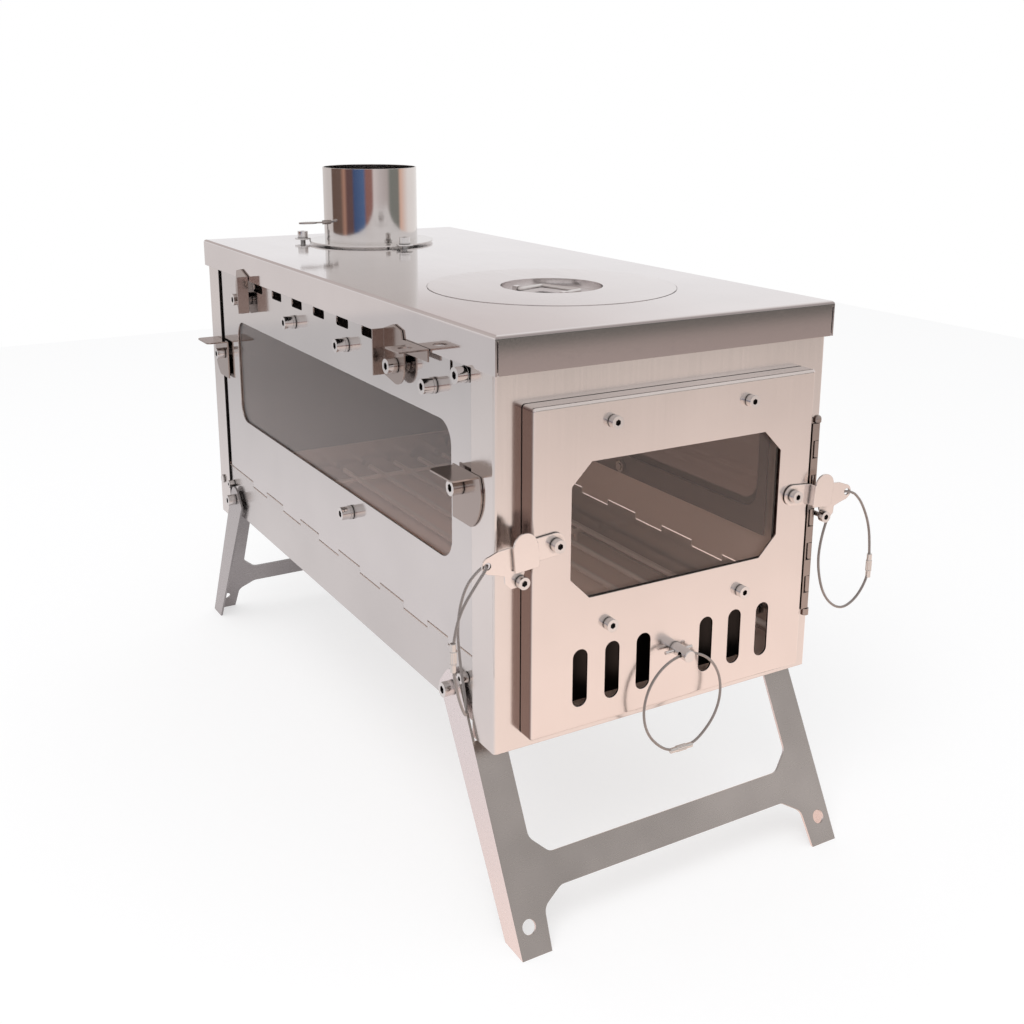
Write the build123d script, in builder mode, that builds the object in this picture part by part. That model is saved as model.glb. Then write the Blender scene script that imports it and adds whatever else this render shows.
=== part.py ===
# Tent wood stove: a folding sheet-metal firebox on splayed legs, with a glazed door,
# two side windows, a lid with a cook plate and a flue collar.
# Millimetres. X to the right seen from the door, Y from the door to the back, Z up.
# Origin on the floor, under the middle of the lid.
import os
from math import cos, radians, sin, sqrt

from build123d import *

os.makedirs("parts", exist_ok=True)

# Lid
LID_WIDTH = 220.0
LID_LENGTH = 470.0
LID_TOP_Z = 326.0
LID_SKIRT = 20.0
SHEET = 1.0
BEND_R = 2.0
CORNER_SLIT = 0.8

# Firebox pans, tray and side panels
PAN_WIDTH = 217.0
PAN_SETBACK = 4.0
PAN_BOTTOM_Z = 102.0
LID_CLEARANCE = 0.3
FRONT_FLANGE = 23.5
BACK_FLANGE = 25.0
SEAT_GAP = 0.3
TRAY_BOTTOM_Z = 109.8
TRAY_FRONT_TOP_Z = 115.0
PANEL_REAR_Y = 202.0
SEAM_HIGH_Z = 147.5
SEAM_LOW_Z = 143.5
SEAM_GAP = 1.0
SEAM_STEPS = (-190.0, -177.0, -151.5, -120.0, -86.5, -55.5, -20.5, 14.0, 49.0, 84.0, 119.0, 150.0)
OPENING_HALF_WIDTH = 86.0
OPENING_BOTTOM_Z = 116.0
OPENING_TOP_Z = 284.0
OPENING_R = 4.0

# Side windows
WINDOW_Y = (-183.0, 169.0)
WINDOW_Z = (193.5, 271.0)
WINDOW_R = 13.0
WINDOW_GLASS = 3.0
WINDOW_LAP = 8.0
FRAME_SHEET = 1.0
FRAME_LAP = 4.0
FRAME_Z = (175.0, 297.0)
FRAME_Y = (-194.5, 189.0)

# Vent slots along the top of the sides
VENT_FIRST_Y = -78.0
VENT_PITCH = 39.0
VENT_COUNT = 6
VENT_LENGTH = 19.0
VENT_HEIGHT = 6.0
VENT_Z = 302.0
HOOK_SLOT_Y = -184.0
HOOK_SLOT_Z = 301.5

# Side fasteners, M5
M5_HEAD_R = 4.25
M5_HEAD_H = 6.0
M5_SHANK_R = 2.45
M5_KEY = 4.0
M5_COLLAR_R = 4.6
M5_COLLAR_H = 1.6
M5_HOLE_R = 2.6
M5_NUT_R = 4.0
M5_NUT_H = 3.0
SIDE_SCREWS = ((-164.0, 287.5), (-45.0, 289.0), (45.0, 289.0), (-45.0, 181.0))
HOOK_SCREW = (-202.0, 301.0)
BACK_PAN_SCREW = (222.0, 131.0)
RIVET_HEAD_R = 3.4
RIVET_HEAD_H = 1.2

# Door
DOOR_HALF_WIDTH = 92.7
DOOR_Z = (110.3, 289.7)
DOOR_DEPTH = 10.1
DOOR_GAP = 0.6
DOOR_WINDOW_HALF = 69.5
DOOR_WINDOW_Z = (184.0, 258.0)
DOOR_WINDOW_CHAMFER = 12.0
DOOR_GLASS = 4.0
DOOR_GLASS_HALF = 78.0
DOOR_GLASS_Z = (173.0, 271.0)
RETAINER_HALF = 82.0
RETAINER_Z = (160.5, 284.0)
DOOR_SCREWS = ((-45.0, 277.5), (45.0, 277.5), (-45.0, 167.0), (45.0, 167.0))
DOOR_VENTS_X = (-62.5, -42.0, -21.5, 21.5, 42.0, 62.5)
DOOR_VENT_W = 9.3
DOOR_VENT_Z = (123.0, 156.0)
M4_HEAD_R = 3.5
M4_HEAD_H = 4.0
M4_SHANK_R = 1.95
M4_KEY = 3.0
M4_HOLE_R = 2.1
M4_NUT_R = 3.5
M4_NUT_H = 2.6

# Door hinge
HINGE_X = 97.3
HINGE_Y = -240.0
HINGE_Z = (145.0, 258.0)
KNUCKLES = 11
KNUCKLE_GAP = 0.3
BARREL_R = 1.8
HINGE_PIN_R = 0.9
PIN_CLEARANCE = 0.05
HINGE_CAP_R = 2.4
HINGE_CAP_H = 4.0
LEAF_SHEET = 1.0
LEAF_FOOT_X = 105.5
KEEPER_NOTCH = 7.0

# Latches, on the left and right edges of the door
LATCH_PIVOT_X = 79.5
LATCH_PIVOT_Z = 218.0
LATCH_SHEET = 1.0
LATCH_INNER_GAP = 0.5
LATCH_MIDDLE_GAP = 4.7
LATCH_OUTER_GAP = 2.2
LATCH_HALF = 6.0
LATCH_FOLD = (13.0, 26.5)
LATCH_TIP = 43.5
LATCH_TAB_TOP = 12.4
LATCH_TAB_R = 6.7
LATCH_DROOP = 5.0
LATCH_PIVOT_HOLE_R = 2.0
RING_HOLE_AT = 40.5
RING_HOLE_R = 2.0
KEEPER_X = 101.0
KEEPER_Z = 203.0
KEEPER_NECK_R = 1.5
KEEPER_HEAD_R = 3.25
KEEPER_HEAD_H = 3.5
KEEPER_CATCH_R = 1.9

# Cable pull rings
CABLE_R = 0.8
FERRULE_R = 1.8
FERRULE_L = 15.0
FERRULE_BORE = 0.1

# Air damper behind the door's slots
ROD_R = 3.5
ROD_Z = 142.5
ROD_REACH = 13.8
ROD_CLEARANCE = 0.08
ROD_CROSS_HOLE_R = 1.6
ROD_CROSS_HOLE_AT = 8.9
CROSS_PIN_R = 1.0
CROSS_PIN_AT = 3.4
CROSS_PIN_HALF = 9.0
SHUTTER_HALF_WIDTH = 70.0
SHUTTER_Z = (119.0, 159.0)
SHUTTER_TRAVEL = 12.0
SHUTTER_STOP_GAP = 0.4

# Legs
LEG_SHEET = 1.5
LEG_OUTER_X = 110.6
LEG_SPLAY = 28.2
LEG_FOOT_Y = -265.3
LEG_FOOT_REAR_Y = -247.0
LEG_PIVOT = (-188.0, 123.0)
LEG_HEAD_R = 10.0
LEG_SHOULDER = (-172.5, 120.3)
LEG_WEB_TOP_Z = 101.0
LEG_STRIP = 19.6
LEG_BAR = (30.0, 48.0)
LEG_GUSSET = (22.0, 58.5)
LEG_GUSSET_X = 80.5
LEG_WEB_R = 7.0
LEG_FOOT_WIDTH = 18.0
LEG_FOOT_HOLE = (102.5, 15.3)
LEG_FOOT_HOLE_R = 4.0
LEG_WASHER_R = 6.0
STOP_STUD = (-199.0, 133.0)
STOP_STUD_R = 3.0
STOP_STUD_H = 4.5

# Swivel clips on the sides
CLIP_SHEET = 1.0
MID_CLIP_X = 108.8
TOP_CLIP_X = 110.4
CLIP_HOLE_R = 2.5
MID_CLIP_PIVOT = (-198.0, 241.0)
TOP_CLIP_FRONT = (-125.0, 291.5)
TOP_CLIP_REAR = (144.5, 291.0)
MID_CLIP_REACH = 22.0
MID_CLIP_BACK = 9.0
MID_WING_LENGTH = 26.0
MID_WING_OUT = 16.0
TOP_DISC_R = 10.5
TOP_WING_AT = 16.0
TOP_WING_OUT = 8.0
TOP_WING_Z = (-8.0, 18.5)
TOP_ARM_REACH = 40.0
TOP_ARM_Z = (9.0, 16.0)
TOP_TAB_OUT = 17.6
TOP_TAB_LENGTH = 17.0
TOP_TAB_HOLE_R = 4.0

# Grate
GRATE_Z = 122.0
GRATE_HALF_WIDTH = 96.0
GRATE_HALF_LENGTH = 222.0
GRATE_ROD_R = 2.0
GRATE_RODS = 9
GRATE_CROSS_Y = (-200.0, 0.0, 200.0)

# Cook plate
PLATE_Y = -109.5
PLATE_R = 75.0
PLATE_CLEARANCE = 0.5
SEAT_RING = 7.0
DISH_R = 31.0
DISH_DEPTH = 5.0
BAIL_WIRE_R = 1.2
BAIL_ANGLE = 19.0
BAIL_GRIP_AT = 9.0
BAIL_PIVOT_AT = -11.0
BAIL_HALF = 15.0
BAIL_RISE = 2.4
LUG_SIZE = (4.6, 3.0, 4.2)

# Flue collar
FLUE_Y = 157.0
FLUE_R = 36.0
FLUE_WALL = 0.8
FLUE_TOP_Z = 384.0
FLUE_BELOW = 7.0
FLUE_FLANGE_R = 48.0
FLUE_LIFT = 1.2
FLUE_CLEARANCE = 0.4
FLUE_SCREW_AT = 53.0
FLUE_SCREW_ANGLES = (34.0, 154.0, 274.0)
FLUE_WASHER_R = 6.2
FLUE_WASHER_H = 1.0
DAMPER_Z = 343.0
DAMPER_EDGE = 0.7
DAMPER_SHEET = 1.0
SPINDLE_R = 1.6
SPINDLE_CLEARANCE = 0.06
LEVER_LENGTH = 17.0
LEVER_HALF = 4.2

# Faces and places that follow from the sizes above
LID_FRONT = -LID_LENGTH / 2
LID_UNDER = LID_TOP_Z - SHEET
PAN_X = PAN_WIDTH / 2
PAN_FACE = LID_LENGTH / 2 - PAN_SETBACK
PAN_TOP_Z = LID_UNDER - LID_CLEARANCE
SIDE_X = PAN_X - SHEET - SEAT_GAP
SIDE_INNER_X = SIDE_X - SHEET
END_Y = PAN_FACE - SHEET - SEAT_GAP
GLASS_X = SIDE_INNER_X - SEAT_GAP
FRAME_X = GLASS_X - WINDOW_GLASS - SEAT_GAP
SIDE_NUT_X = FRAME_X - FRAME_SHEET - SEAT_GAP
DOOR_BACK = -PAN_FACE - DOOR_GAP
DOOR_FACE = DOOR_BACK - DOOR_DEPTH
DOOR_INSIDE = DOOR_FACE + SHEET
DOOR_GLASS_Y = DOOR_INSIDE + SEAT_GAP
RETAINER_Y = DOOR_GLASS_Y + DOOR_GLASS + SEAT_GAP
DOOR_NUT_Y = RETAINER_Y + SHEET + SEAT_GAP
LATCH_INNER_Y = DOOR_FACE - LATCH_INNER_GAP - LATCH_SHEET
LATCH_MIDDLE_Y = DOOR_FACE - LATCH_MIDDLE_GAP - LATCH_SHEET
LATCH_OUTER_Y = DOOR_FACE - LATCH_OUTER_GAP - LATCH_SHEET
KEEPER_HEAD_Y = LATCH_OUTER_Y - SEAT_GAP
SHUTTER_Y = DOOR_INSIDE + SHUTTER_STOP_GAP + SHUTTER_TRAVEL
LEG_INNER_X = LEG_OUTER_X - LEG_SHEET
LEG_SLOPE = radians(LEG_SPLAY)
PLATE_UNDER = LID_UNDER + SEAT_GAP
DISH_FLOOR = PLATE_UNDER + SHEET - DISH_DEPTH
FLANGE_Z = LID_TOP_Z + FLUE_LIFT
SIDES = (-1.0, 1.0)
TAU = 360.0


def block(x0, x1, y0, y1, z0, z1, mode=Mode.ADD):
    """A box between two corners."""
    with Locations(((x0 + x1) / 2, (y0 + y1) / 2, (z0 + z1) / 2)):
        Box(abs(x1 - x0), abs(y1 - y0), abs(z1 - z0), mode=mode)


def rod(start, direction, radius, length, mode=Mode.ADD):
    """A cylinder from a point along a direction."""
    with BuildSketch(Plane(origin=start, z_dir=direction)) as profile:
        Circle(radius)
    extrude(profile.sketch, amount=length, mode=mode)


def cap_screw(seat, outward, head_r, head_h, shank_r, shank_l, key):
    """A socket cap screw: head outward from its seat, shank the other way."""
    head = Plane(origin=seat, z_dir=outward)
    with BuildSketch(head) as disc:
        Circle(head_r)
    extrude(disc.sketch, amount=head_h)
    with BuildSketch(head.offset(head_h)) as socket:
        RegularPolygon(key / 2, 6, major_radius=False)
    extrude(socket.sketch, amount=-head_h / 2, mode=Mode.SUBTRACT)
    with BuildSketch(head) as shank:
        Circle(shank_r)
    extrude(shank.sketch, amount=-shank_l)


def hex_nut(seat, outward, across, height, bore):
    """A hexagon nut with a plain bore."""
    with BuildSketch(Plane(origin=seat, z_dir=outward)) as ring:
        RegularPolygon(across, 6, major_radius=False)
        Circle(bore, mode=Mode.SUBTRACT)
    extrude(ring.sketch, amount=height)


def side_plane(side, x):
    """A plane facing out of one side: its x runs along Y, its y along Z."""
    return Plane(origin=(side * x, 0, 0), x_dir=(0, side, 0), z_dir=(side, 0, 0))


def on_side(side, y, z):
    """A point of the side, in the coordinates of side_plane."""
    return (side * y, z)


def save(part, label):
    part.label = label
    export_step(part, f"parts/{label}.step")


# Lid: a shallow pan, open below, with slit corners and a hole for plate and flue
with BuildPart() as lid:
    with BuildSketch(Plane.XY.offset(LID_TOP_Z)):
        Rectangle(LID_WIDTH, LID_LENGTH)
    extrude(amount=-LID_SKIRT)
    fillet(lid.edges().group_by(Axis.Z)[-1], BEND_R)
    block(-LID_WIDTH / 2 + SHEET, LID_WIDTH / 2 - SHEET, LID_FRONT + SHEET, -LID_FRONT - SHEET,
          LID_TOP_Z - LID_SKIRT, LID_UNDER, Mode.SUBTRACT)
    for side in SIDES:
        for end in SIDES:
            corner_x = side * (LID_WIDTH / 2 - SHEET)
            corner_y = end * (-LID_FRONT)
            block(corner_x, corner_x - side * CORNER_SLIT, corner_y, corner_y - end * SHEET,
                  LID_TOP_Z - LID_SKIRT, LID_TOP_Z - BEND_R - SHEET, Mode.SUBTRACT)
    rod((0, PLATE_Y, LID_UNDER - 1), (0, 0, 1), PLATE_R + PLATE_CLEARANCE, 5, Mode.SUBTRACT)
    with BuildSketch(Plane.XY.offset(LID_UNDER)):
        with Locations((0, PLATE_Y)):
            Circle(PLATE_R + SEAT_RING)
            Circle(PLATE_R - SEAT_RING, mode=Mode.SUBTRACT)
    extrude(amount=-SHEET)
    rod((0, FLUE_Y, LID_UNDER - 1), (0, 0, 1), FLUE_R + FLUE_CLEARANCE, 5, Mode.SUBTRACT)
    for angle in FLUE_SCREW_ANGLES:
        screw_x = FLUE_SCREW_AT * cos(radians(angle))
        screw_y = FLUE_Y + FLUE_SCREW_AT * sin(radians(angle))
        rod((screw_x, screw_y, LID_UNDER - 1), (0, 0, 1), M4_HOLE_R, 5, Mode.SUBTRACT)
save(lid.part, "lid")

# Front and back pans: bent round the ends of the sides
for label, end, flange in (("front_panel", -1.0, FRONT_FLANGE), ("back_panel", 1.0, BACK_FLANGE)):
    with BuildPart() as pan:
        face = end * PAN_FACE
        block(-PAN_X, PAN_X, face, face - end * flange, PAN_BOTTOM_Z, PAN_TOP_Z)
        fillet(pan.edges().filter_by(Axis.Z).group_by(Axis.Y)[0 if end < 0 else -1], BEND_R)
        block(-PAN_X + SHEET, PAN_X - SHEET, face - end * SHEET, face - end * (flange + 1),
              PAN_BOTTOM_Z, PAN_TOP_Z, Mode.SUBTRACT)
        if end < 0:
            with BuildSketch(Plane.XZ.offset(PAN_FACE + 1)):
                with Locations((0, (OPENING_BOTTOM_Z + OPENING_TOP_Z) / 2)):
                    RectangleRounded(2 * OPENING_HALF_WIDTH, OPENING_TOP_Z - OPENING_BOTTOM_Z, OPENING_R)
            extrude(amount=-3 * SHEET, mode=Mode.SUBTRACT)
            for side in SIDES:
                rod((side * KEEPER_X, face - 1, KEEPER_Z), (0, 1, 0), KEEPER_NECK_R + 0.1, 4,
                    Mode.SUBTRACT)
        else:
            for side in SIDES:
                rod((side * (PAN_X + 1), BACK_PAN_SCREW[0], BACK_PAN_SCREW[1]), (-side, 0, 0),
                    M5_HOLE_R, 4, Mode.SUBTRACT)
    save(pan.part, label)


def seam_points(lift):
    """The stepped seam between tray and side, from front to back, raised by lift."""
    points = [(-END_Y, SEAM_HIGH_Z + lift)]
    high = True
    for y in SEAM_STEPS:
        here = SEAM_HIGH_Z if high else SEAM_LOW_Z
        there = SEAM_LOW_Z if high else SEAM_HIGH_Z
        points.append((y, here + lift))
        points.append((y, there + lift))
        high = not high
    return points, (SEAM_HIGH_Z if high else SEAM_LOW_Z) + lift


# Base tray: floor, two stepped side walls and two end walls
with BuildPart() as base_tray:
    block(-SIDE_X, SIDE_X, -END_Y, END_Y, TRAY_BOTTOM_Z, TRAY_BOTTOM_Z + SHEET)
    block(-SIDE_X, SIDE_X, -END_Y, -END_Y + SHEET, TRAY_BOTTOM_Z, TRAY_FRONT_TOP_Z)
    block(-SIDE_X, SIDE_X, END_Y - SHEET, END_Y, TRAY_BOTTOM_Z, SEAM_LOW_Z - SEAM_GAP)
    seam, seam_end = seam_points(-SEAM_GAP / 2)
    outline = [(-END_Y, TRAY_BOTTOM_Z)] + seam + [(END_Y, seam_end), (END_Y, TRAY_BOTTOM_Z)]
    for side in SIDES:
        with BuildSketch(side_plane(side, SIDE_X)):
            with BuildLine():
                Polyline(*[on_side(side, y, z) for y, z in outline], close=True)
            make_face()
        extrude(amount=-SHEET)
        for y, z in (BACK_PAN_SCREW, LEG_PIVOT, STOP_STUD, (-LEG_PIVOT[0], LEG_PIVOT[1]),
                     (-STOP_STUD[0], STOP_STUD[1])):
            rod((side * (SIDE_X + 1), y, z), (-side, 0, 0), M5_HOLE_R, 4, Mode.SUBTRACT)
save(base_tray.part, "base_tray")

# Side panels with window, vent slots and hook slot
clip_spots = (MID_CLIP_PIVOT, (-MID_CLIP_PIVOT[0], MID_CLIP_PIVOT[1]), TOP_CLIP_FRONT, TOP_CLIP_REAR)
window_centre = ((WINDOW_Y[0] + WINDOW_Y[1]) / 2, (WINDOW_Z[0] + WINDOW_Z[1]) / 2)
window_size = (WINDOW_Y[1] - WINDOW_Y[0], WINDOW_Z[1] - WINDOW_Z[0])
seam, seam_end = seam_points(SEAM_GAP / 2)
panel_outline = seam + [(PANEL_REAR_Y, seam_end), (PANEL_REAR_Y, PAN_TOP_Z), (-END_Y, PAN_TOP_Z)]
for side, name in ((-1.0, "left"), (1.0, "right")):
    with BuildPart() as panel:
        with BuildSketch(side_plane(side, SIDE_X)):
            with BuildLine():
                Polyline(*[on_side(side, y, z) for y, z in panel_outline], close=True)
            make_face()
            with Locations(on_side(side, *window_centre)):
                RectangleRounded(*window_size, WINDOW_R, mode=Mode.SUBTRACT)
            for i in range(VENT_COUNT):
                with Locations(on_side(side, VENT_FIRST_Y + i * VENT_PITCH, VENT_Z)):
                    RectangleRounded(VENT_LENGTH, VENT_HEIGHT, 1.5, mode=Mode.SUBTRACT)
            with Locations(on_side(side, HOOK_SLOT_Y, HOOK_SLOT_Z)):
                RectangleRounded(3.0, 7.0, 1.4, mode=Mode.SUBTRACT)
            for y, z in SIDE_SCREWS + (HOOK_SCREW,) + clip_spots:
                with Locations(on_side(side, y, z)):
                    Circle(M5_HOLE_R, mode=Mode.SUBTRACT)
        extrude(amount=-SHEET)
    save(panel.part, f"{name}_side_panel")

    with BuildPart() as pane:
        with BuildSketch(side_plane(side, GLASS_X)):
            with Locations(on_side(side, *window_centre)):
                RectangleRounded(window_size[0] + 2 * WINDOW_LAP, window_size[1] + 2 * WINDOW_LAP, 5)
        extrude(amount=-WINDOW_GLASS)
    save(pane.part, f"{name}_window_glass")

    with BuildPart() as frame:
        with BuildSketch(side_plane(side, FRAME_X)):
            with Locations(on_side(side, (FRAME_Y[0] + FRAME_Y[1]) / 2, (FRAME_Z[0] + FRAME_Z[1]) / 2)):
                Rectangle(FRAME_Y[1] - FRAME_Y[0], FRAME_Z[1] - FRAME_Z[0])
            with Locations(on_side(side, *window_centre)):
                RectangleRounded(window_size[0] + 2 * FRAME_LAP, window_size[1] + 2 * FRAME_LAP,
                                 WINDOW_R, mode=Mode.SUBTRACT)
            for y, z in SIDE_SCREWS + clip_spots[2:]:
                with Locations(on_side(side, y, z)):
                    Circle(M5_HOLE_R, mode=Mode.SUBTRACT)
        extrude(amount=-FRAME_SHEET)
    save(frame.part, f"{name}_glass_frame")

# Side screws with their collars, and nuts inside
with BuildPart() as side_screws:
    for side in SIDES:
        for y, z in SIDE_SCREWS:
            seat = SIDE_X + SEAT_GAP + M5_COLLAR_H
            cap_screw((side * seat, y, z), (side, 0, 0), M5_HEAD_R, M5_HEAD_H, M5_SHANK_R,
                      seat - SIDE_NUT_X + M5_NUT_H + 0.5, M5_KEY)
            rod((side * (seat - 0.01), y, z), (-side, 0, 0), M5_COLLAR_R, M5_COLLAR_H)
        cap_screw((side * (SIDE_X + SEAT_GAP + M5_COLLAR_H), *HOOK_SCREW), (side, 0, 0), M5_HEAD_R,
                  M5_HEAD_H, M5_SHANK_R, M5_COLLAR_H + SHEET + M5_NUT_H + 1, M5_KEY)
        rod((side * (SIDE_X + SEAT_GAP + M5_COLLAR_H - 0.01), *HOOK_SCREW), (-side, 0, 0),
            M5_COLLAR_R, M5_COLLAR_H)
        rivet = (side * (PAN_X + SEAT_GAP), *BACK_PAN_SCREW)
        rod(rivet, (side, 0, 0), RIVET_HEAD_R, RIVET_HEAD_H)
        rod((side * (PAN_X + SEAT_GAP + 0.01), *BACK_PAN_SCREW), (-side, 0, 0), M5_SHANK_R,
            2 * SHEET + 3 * SEAT_GAP + M5_NUT_H)
save(side_screws.part, "side_screws")

with BuildPart() as side_nuts:
    bore = M5_SHANK_R + 0.05
    for side in SIDES:
        for y, z in SIDE_SCREWS + clip_spots[2:]:
            hex_nut((side * SIDE_NUT_X, y, z), (-side, 0, 0), M5_NUT_R, M5_NUT_H, bore)
        for y, z in (HOOK_SCREW, BACK_PAN_SCREW, LEG_PIVOT, (-LEG_PIVOT[0], LEG_PIVOT[1])) + clip_spots[:2]:
            hex_nut((side * (SIDE_INNER_X - SEAT_GAP), y, z), (-side, 0, 0), M5_NUT_R,
                    M5_NUT_H, bore)
save(side_nuts.part, "side_nuts")

# Fire grate: long rods on cross rods
with BuildPart() as fire_grate:
    for i in range(GRATE_RODS):
        x = -GRATE_HALF_WIDTH + 2 * GRATE_HALF_WIDTH * i / (GRATE_RODS - 1)
        rod((x, -GRATE_HALF_LENGTH, GRATE_Z), (0, 1, 0), GRATE_ROD_R, 2 * GRATE_HALF_LENGTH)
    for y in GRATE_CROSS_Y:
        rod((-GRATE_HALF_WIDTH - GRATE_ROD_R, y, GRATE_Z - 1.5 * GRATE_ROD_R), (1, 0, 0), GRATE_ROD_R,
            2 * (GRATE_HALF_WIDTH + GRATE_ROD_R))
        for side in SIDES:
            rod((side * (GRATE_HALF_WIDTH - 4), y, TRAY_BOTTOM_Z + SHEET + SEAT_GAP), (0, 0, 1), GRATE_ROD_R,
                GRATE_Z - 1.5 * GRATE_ROD_R - TRAY_BOTTOM_Z - SHEET - SEAT_GAP)
save(fire_grate.part, "fire_grate")

# Door: a shell open to the back, with window, vents and the holes for its fasteners
with BuildPart() as door_shell:
    block(-DOOR_HALF_WIDTH, DOOR_HALF_WIDTH, DOOR_FACE, DOOR_BACK, *DOOR_Z)
    fillet(door_shell.edges().filter_by(Axis.Y), BEND_R)
    fillet(door_shell.edges().group_by(Axis.Y)[0], BEND_R - 0.2)
    block(-DOOR_HALF_WIDTH + SHEET, DOOR_HALF_WIDTH - SHEET, DOOR_INSIDE, DOOR_BACK + 1,
          DOOR_Z[0] + SHEET, DOOR_Z[1] - SHEET, Mode.SUBTRACT)
    with BuildSketch(Plane.XZ.offset(-DOOR_FACE + 1)):
        with Locations((0, sum(DOOR_WINDOW_Z) / 2)):
            Rectangle(2 * DOOR_WINDOW_HALF, DOOR_WINDOW_Z[1] - DOOR_WINDOW_Z[0])
        chamfer(vertices(), DOOR_WINDOW_CHAMFER)
    extrude(amount=-3 * SHEET, mode=Mode.SUBTRACT)
    with BuildSketch(Plane.XZ.offset(-DOOR_FACE + 1)):
        for x in DOOR_VENTS_X:
            with Locations((x, sum(DOOR_VENT_Z) / 2)):
                SlotOverall(DOOR_VENT_Z[1] - DOOR_VENT_Z[0], DOOR_VENT_W, rotation=90)
        for x, z in DOOR_SCREWS:
            with Locations((x, z)):
                Circle(M4_HOLE_R)
        for side in SIDES:
            with Locations((side * LATCH_PIVOT_X, LATCH_PIVOT_Z)):
                Circle(M4_HOLE_R)
        with Locations((0, ROD_Z)):
            Circle(ROD_R + ROD_CLEARANCE)
    extrude(amount=-3 * SHEET, mode=Mode.SUBTRACT)
save(door_shell.part, "door_shell")

with BuildPart() as door_glass:
    block(-DOOR_GLASS_HALF, DOOR_GLASS_HALF, DOOR_GLASS_Y, DOOR_GLASS_Y + DOOR_GLASS, *DOOR_GLASS_Z)
    for side in SIDES:
        block(side * (LATCH_PIVOT_X - M4_NUT_R - 1.5), side * (LATCH_PIVOT_X + 5), DOOR_GLASS_Y - 1,
              DOOR_GLASS_Y + DOOR_GLASS + 1, LATCH_PIVOT_Z - 6, LATCH_PIVOT_Z + 6, Mode.SUBTRACT)
save(door_glass.part, "door_glass")

with BuildPart() as glass_retainer:
    block(-RETAINER_HALF, RETAINER_HALF, RETAINER_Y, RETAINER_Y + SHEET, *RETAINER_Z)
    with BuildSketch(Plane.XZ.offset(-RETAINER_Y + 1)):
        with Locations((0, sum(DOOR_WINDOW_Z) / 2)):
            Rectangle(2 * DOOR_WINDOW_HALF + 2, DOOR_WINDOW_Z[1] - DOOR_WINDOW_Z[0] + 2)
        for x, z in DOOR_SCREWS:
            with Locations((x, z)):
                Circle(M4_HOLE_R)
    extrude(amount=-3 * SHEET, mode=Mode.SUBTRACT)
    for side in SIDES:
        block(side * (LATCH_PIVOT_X - M4_NUT_R - 1.5), side * (LATCH_PIVOT_X + 5), RETAINER_Y - 1,
              RETAINER_Y + 2, LATCH_PIVOT_Z - 6, LATCH_PIVOT_Z + 6, Mode.SUBTRACT)
save(glass_retainer.part, "glass_retainer")

with BuildPart() as door_screws:
    for x, z in DOOR_SCREWS:
        cap_screw((x, DOOR_FACE - SEAT_GAP, z), (0, -1, 0), M4_HEAD_R, M4_HEAD_H, M4_SHANK_R,
                  DOOR_NUT_Y + M4_NUT_H + 0.3 - DOOR_FACE + SEAT_GAP, M4_KEY)
save(door_screws.part, "door_screws")

with BuildPart() as door_nuts:
    for x, z in DOOR_SCREWS:
        hex_nut((x, DOOR_NUT_Y, z), (0, 1, 0), M4_NUT_R, M4_NUT_H, M4_SHANK_R + 0.05)
    for side in SIDES:
        hex_nut((side * LATCH_PIVOT_X, DOOR_INSIDE + SEAT_GAP, LATCH_PIVOT_Z), (0, 1, 0), M4_NUT_R,
                M4_NUT_H, M4_SHANK_R + 0.05)
save(door_nuts.part, "door_nuts")

# Piano hinge: alternate knuckles on the door's leaf and on the body's leaf, one pin
knuckle_pitch = (HINGE_Z[1] - HINGE_Z[0]) / KNUCKLES
for label, first in (("hinge_door_leaf", 0), ("hinge_body_leaf", 1)):
    with BuildPart() as leaf:
        if first == 0:
            block(DOOR_HALF_WIDTH + 0.1, DOOR_HALF_WIDTH + 0.1 + LEAF_SHEET, HINGE_Y - BARREL_R,
                  DOOR_BACK - 2, *HINGE_Z)
        else:
            block(HINGE_X + BARREL_R - LEAF_SHEET, LEAF_FOOT_X, -PAN_FACE - SEAT_GAP - LEAF_SHEET,
                  -PAN_FACE - SEAT_GAP, *HINGE_Z)
            block(HINGE_X + BARREL_R, LEAF_FOOT_X + 1, -PAN_FACE - 3, -PAN_FACE,
                  KEEPER_Z - KEEPER_NOTCH, KEEPER_Z + KEEPER_NOTCH, Mode.SUBTRACT)
        for i in range(first, KNUCKLES, 2):
            z0 = HINGE_Z[0] + i * knuckle_pitch + KNUCKLE_GAP / 2
            z1 = HINGE_Z[0] + (i + 1) * knuckle_pitch - KNUCKLE_GAP / 2
            rod((HINGE_X, HINGE_Y, z0), (0, 0, 1), BARREL_R, z1 - z0)
            if first == 0:
                block(DOOR_HALF_WIDTH + 0.1, HINGE_X, HINGE_Y - BARREL_R, HINGE_Y - BARREL_R + LEAF_SHEET,
                      z0, z1)
            else:
                block(HINGE_X + BARREL_R - LEAF_SHEET, HINGE_X + BARREL_R, HINGE_Y,
                      -PAN_FACE - SEAT_GAP, z0, z1)
        rod((HINGE_X, HINGE_Y, HINGE_Z[0] - 1), (0, 0, 1), HINGE_PIN_R + PIN_CLEARANCE,
            HINGE_Z[1] - HINGE_Z[0] + 2, Mode.SUBTRACT)
    save(leaf.part, label)

with BuildPart() as hinge_pin:
    rod((HINGE_X, HINGE_Y, HINGE_Z[0] - 1), (0, 0, 1), HINGE_PIN_R, HINGE_Z[1] - HINGE_Z[0] + 2)
    rod((HINGE_X, HINGE_Y, HINGE_Z[0] - SEAT_GAP), (0, 0, -1), HINGE_CAP_R, HINGE_CAP_H)
    rod((HINGE_X, HINGE_Y, HINGE_Z[1] + SEAT_GAP), (0, 0, 1), HINGE_CAP_R, HINGE_CAP_H)
    fillet(hinge_pin.edges().group_by(Axis.Z)[-1], HINGE_CAP_R - 0.4)
save(hinge_pin.part, "hinge_pin")

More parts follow.
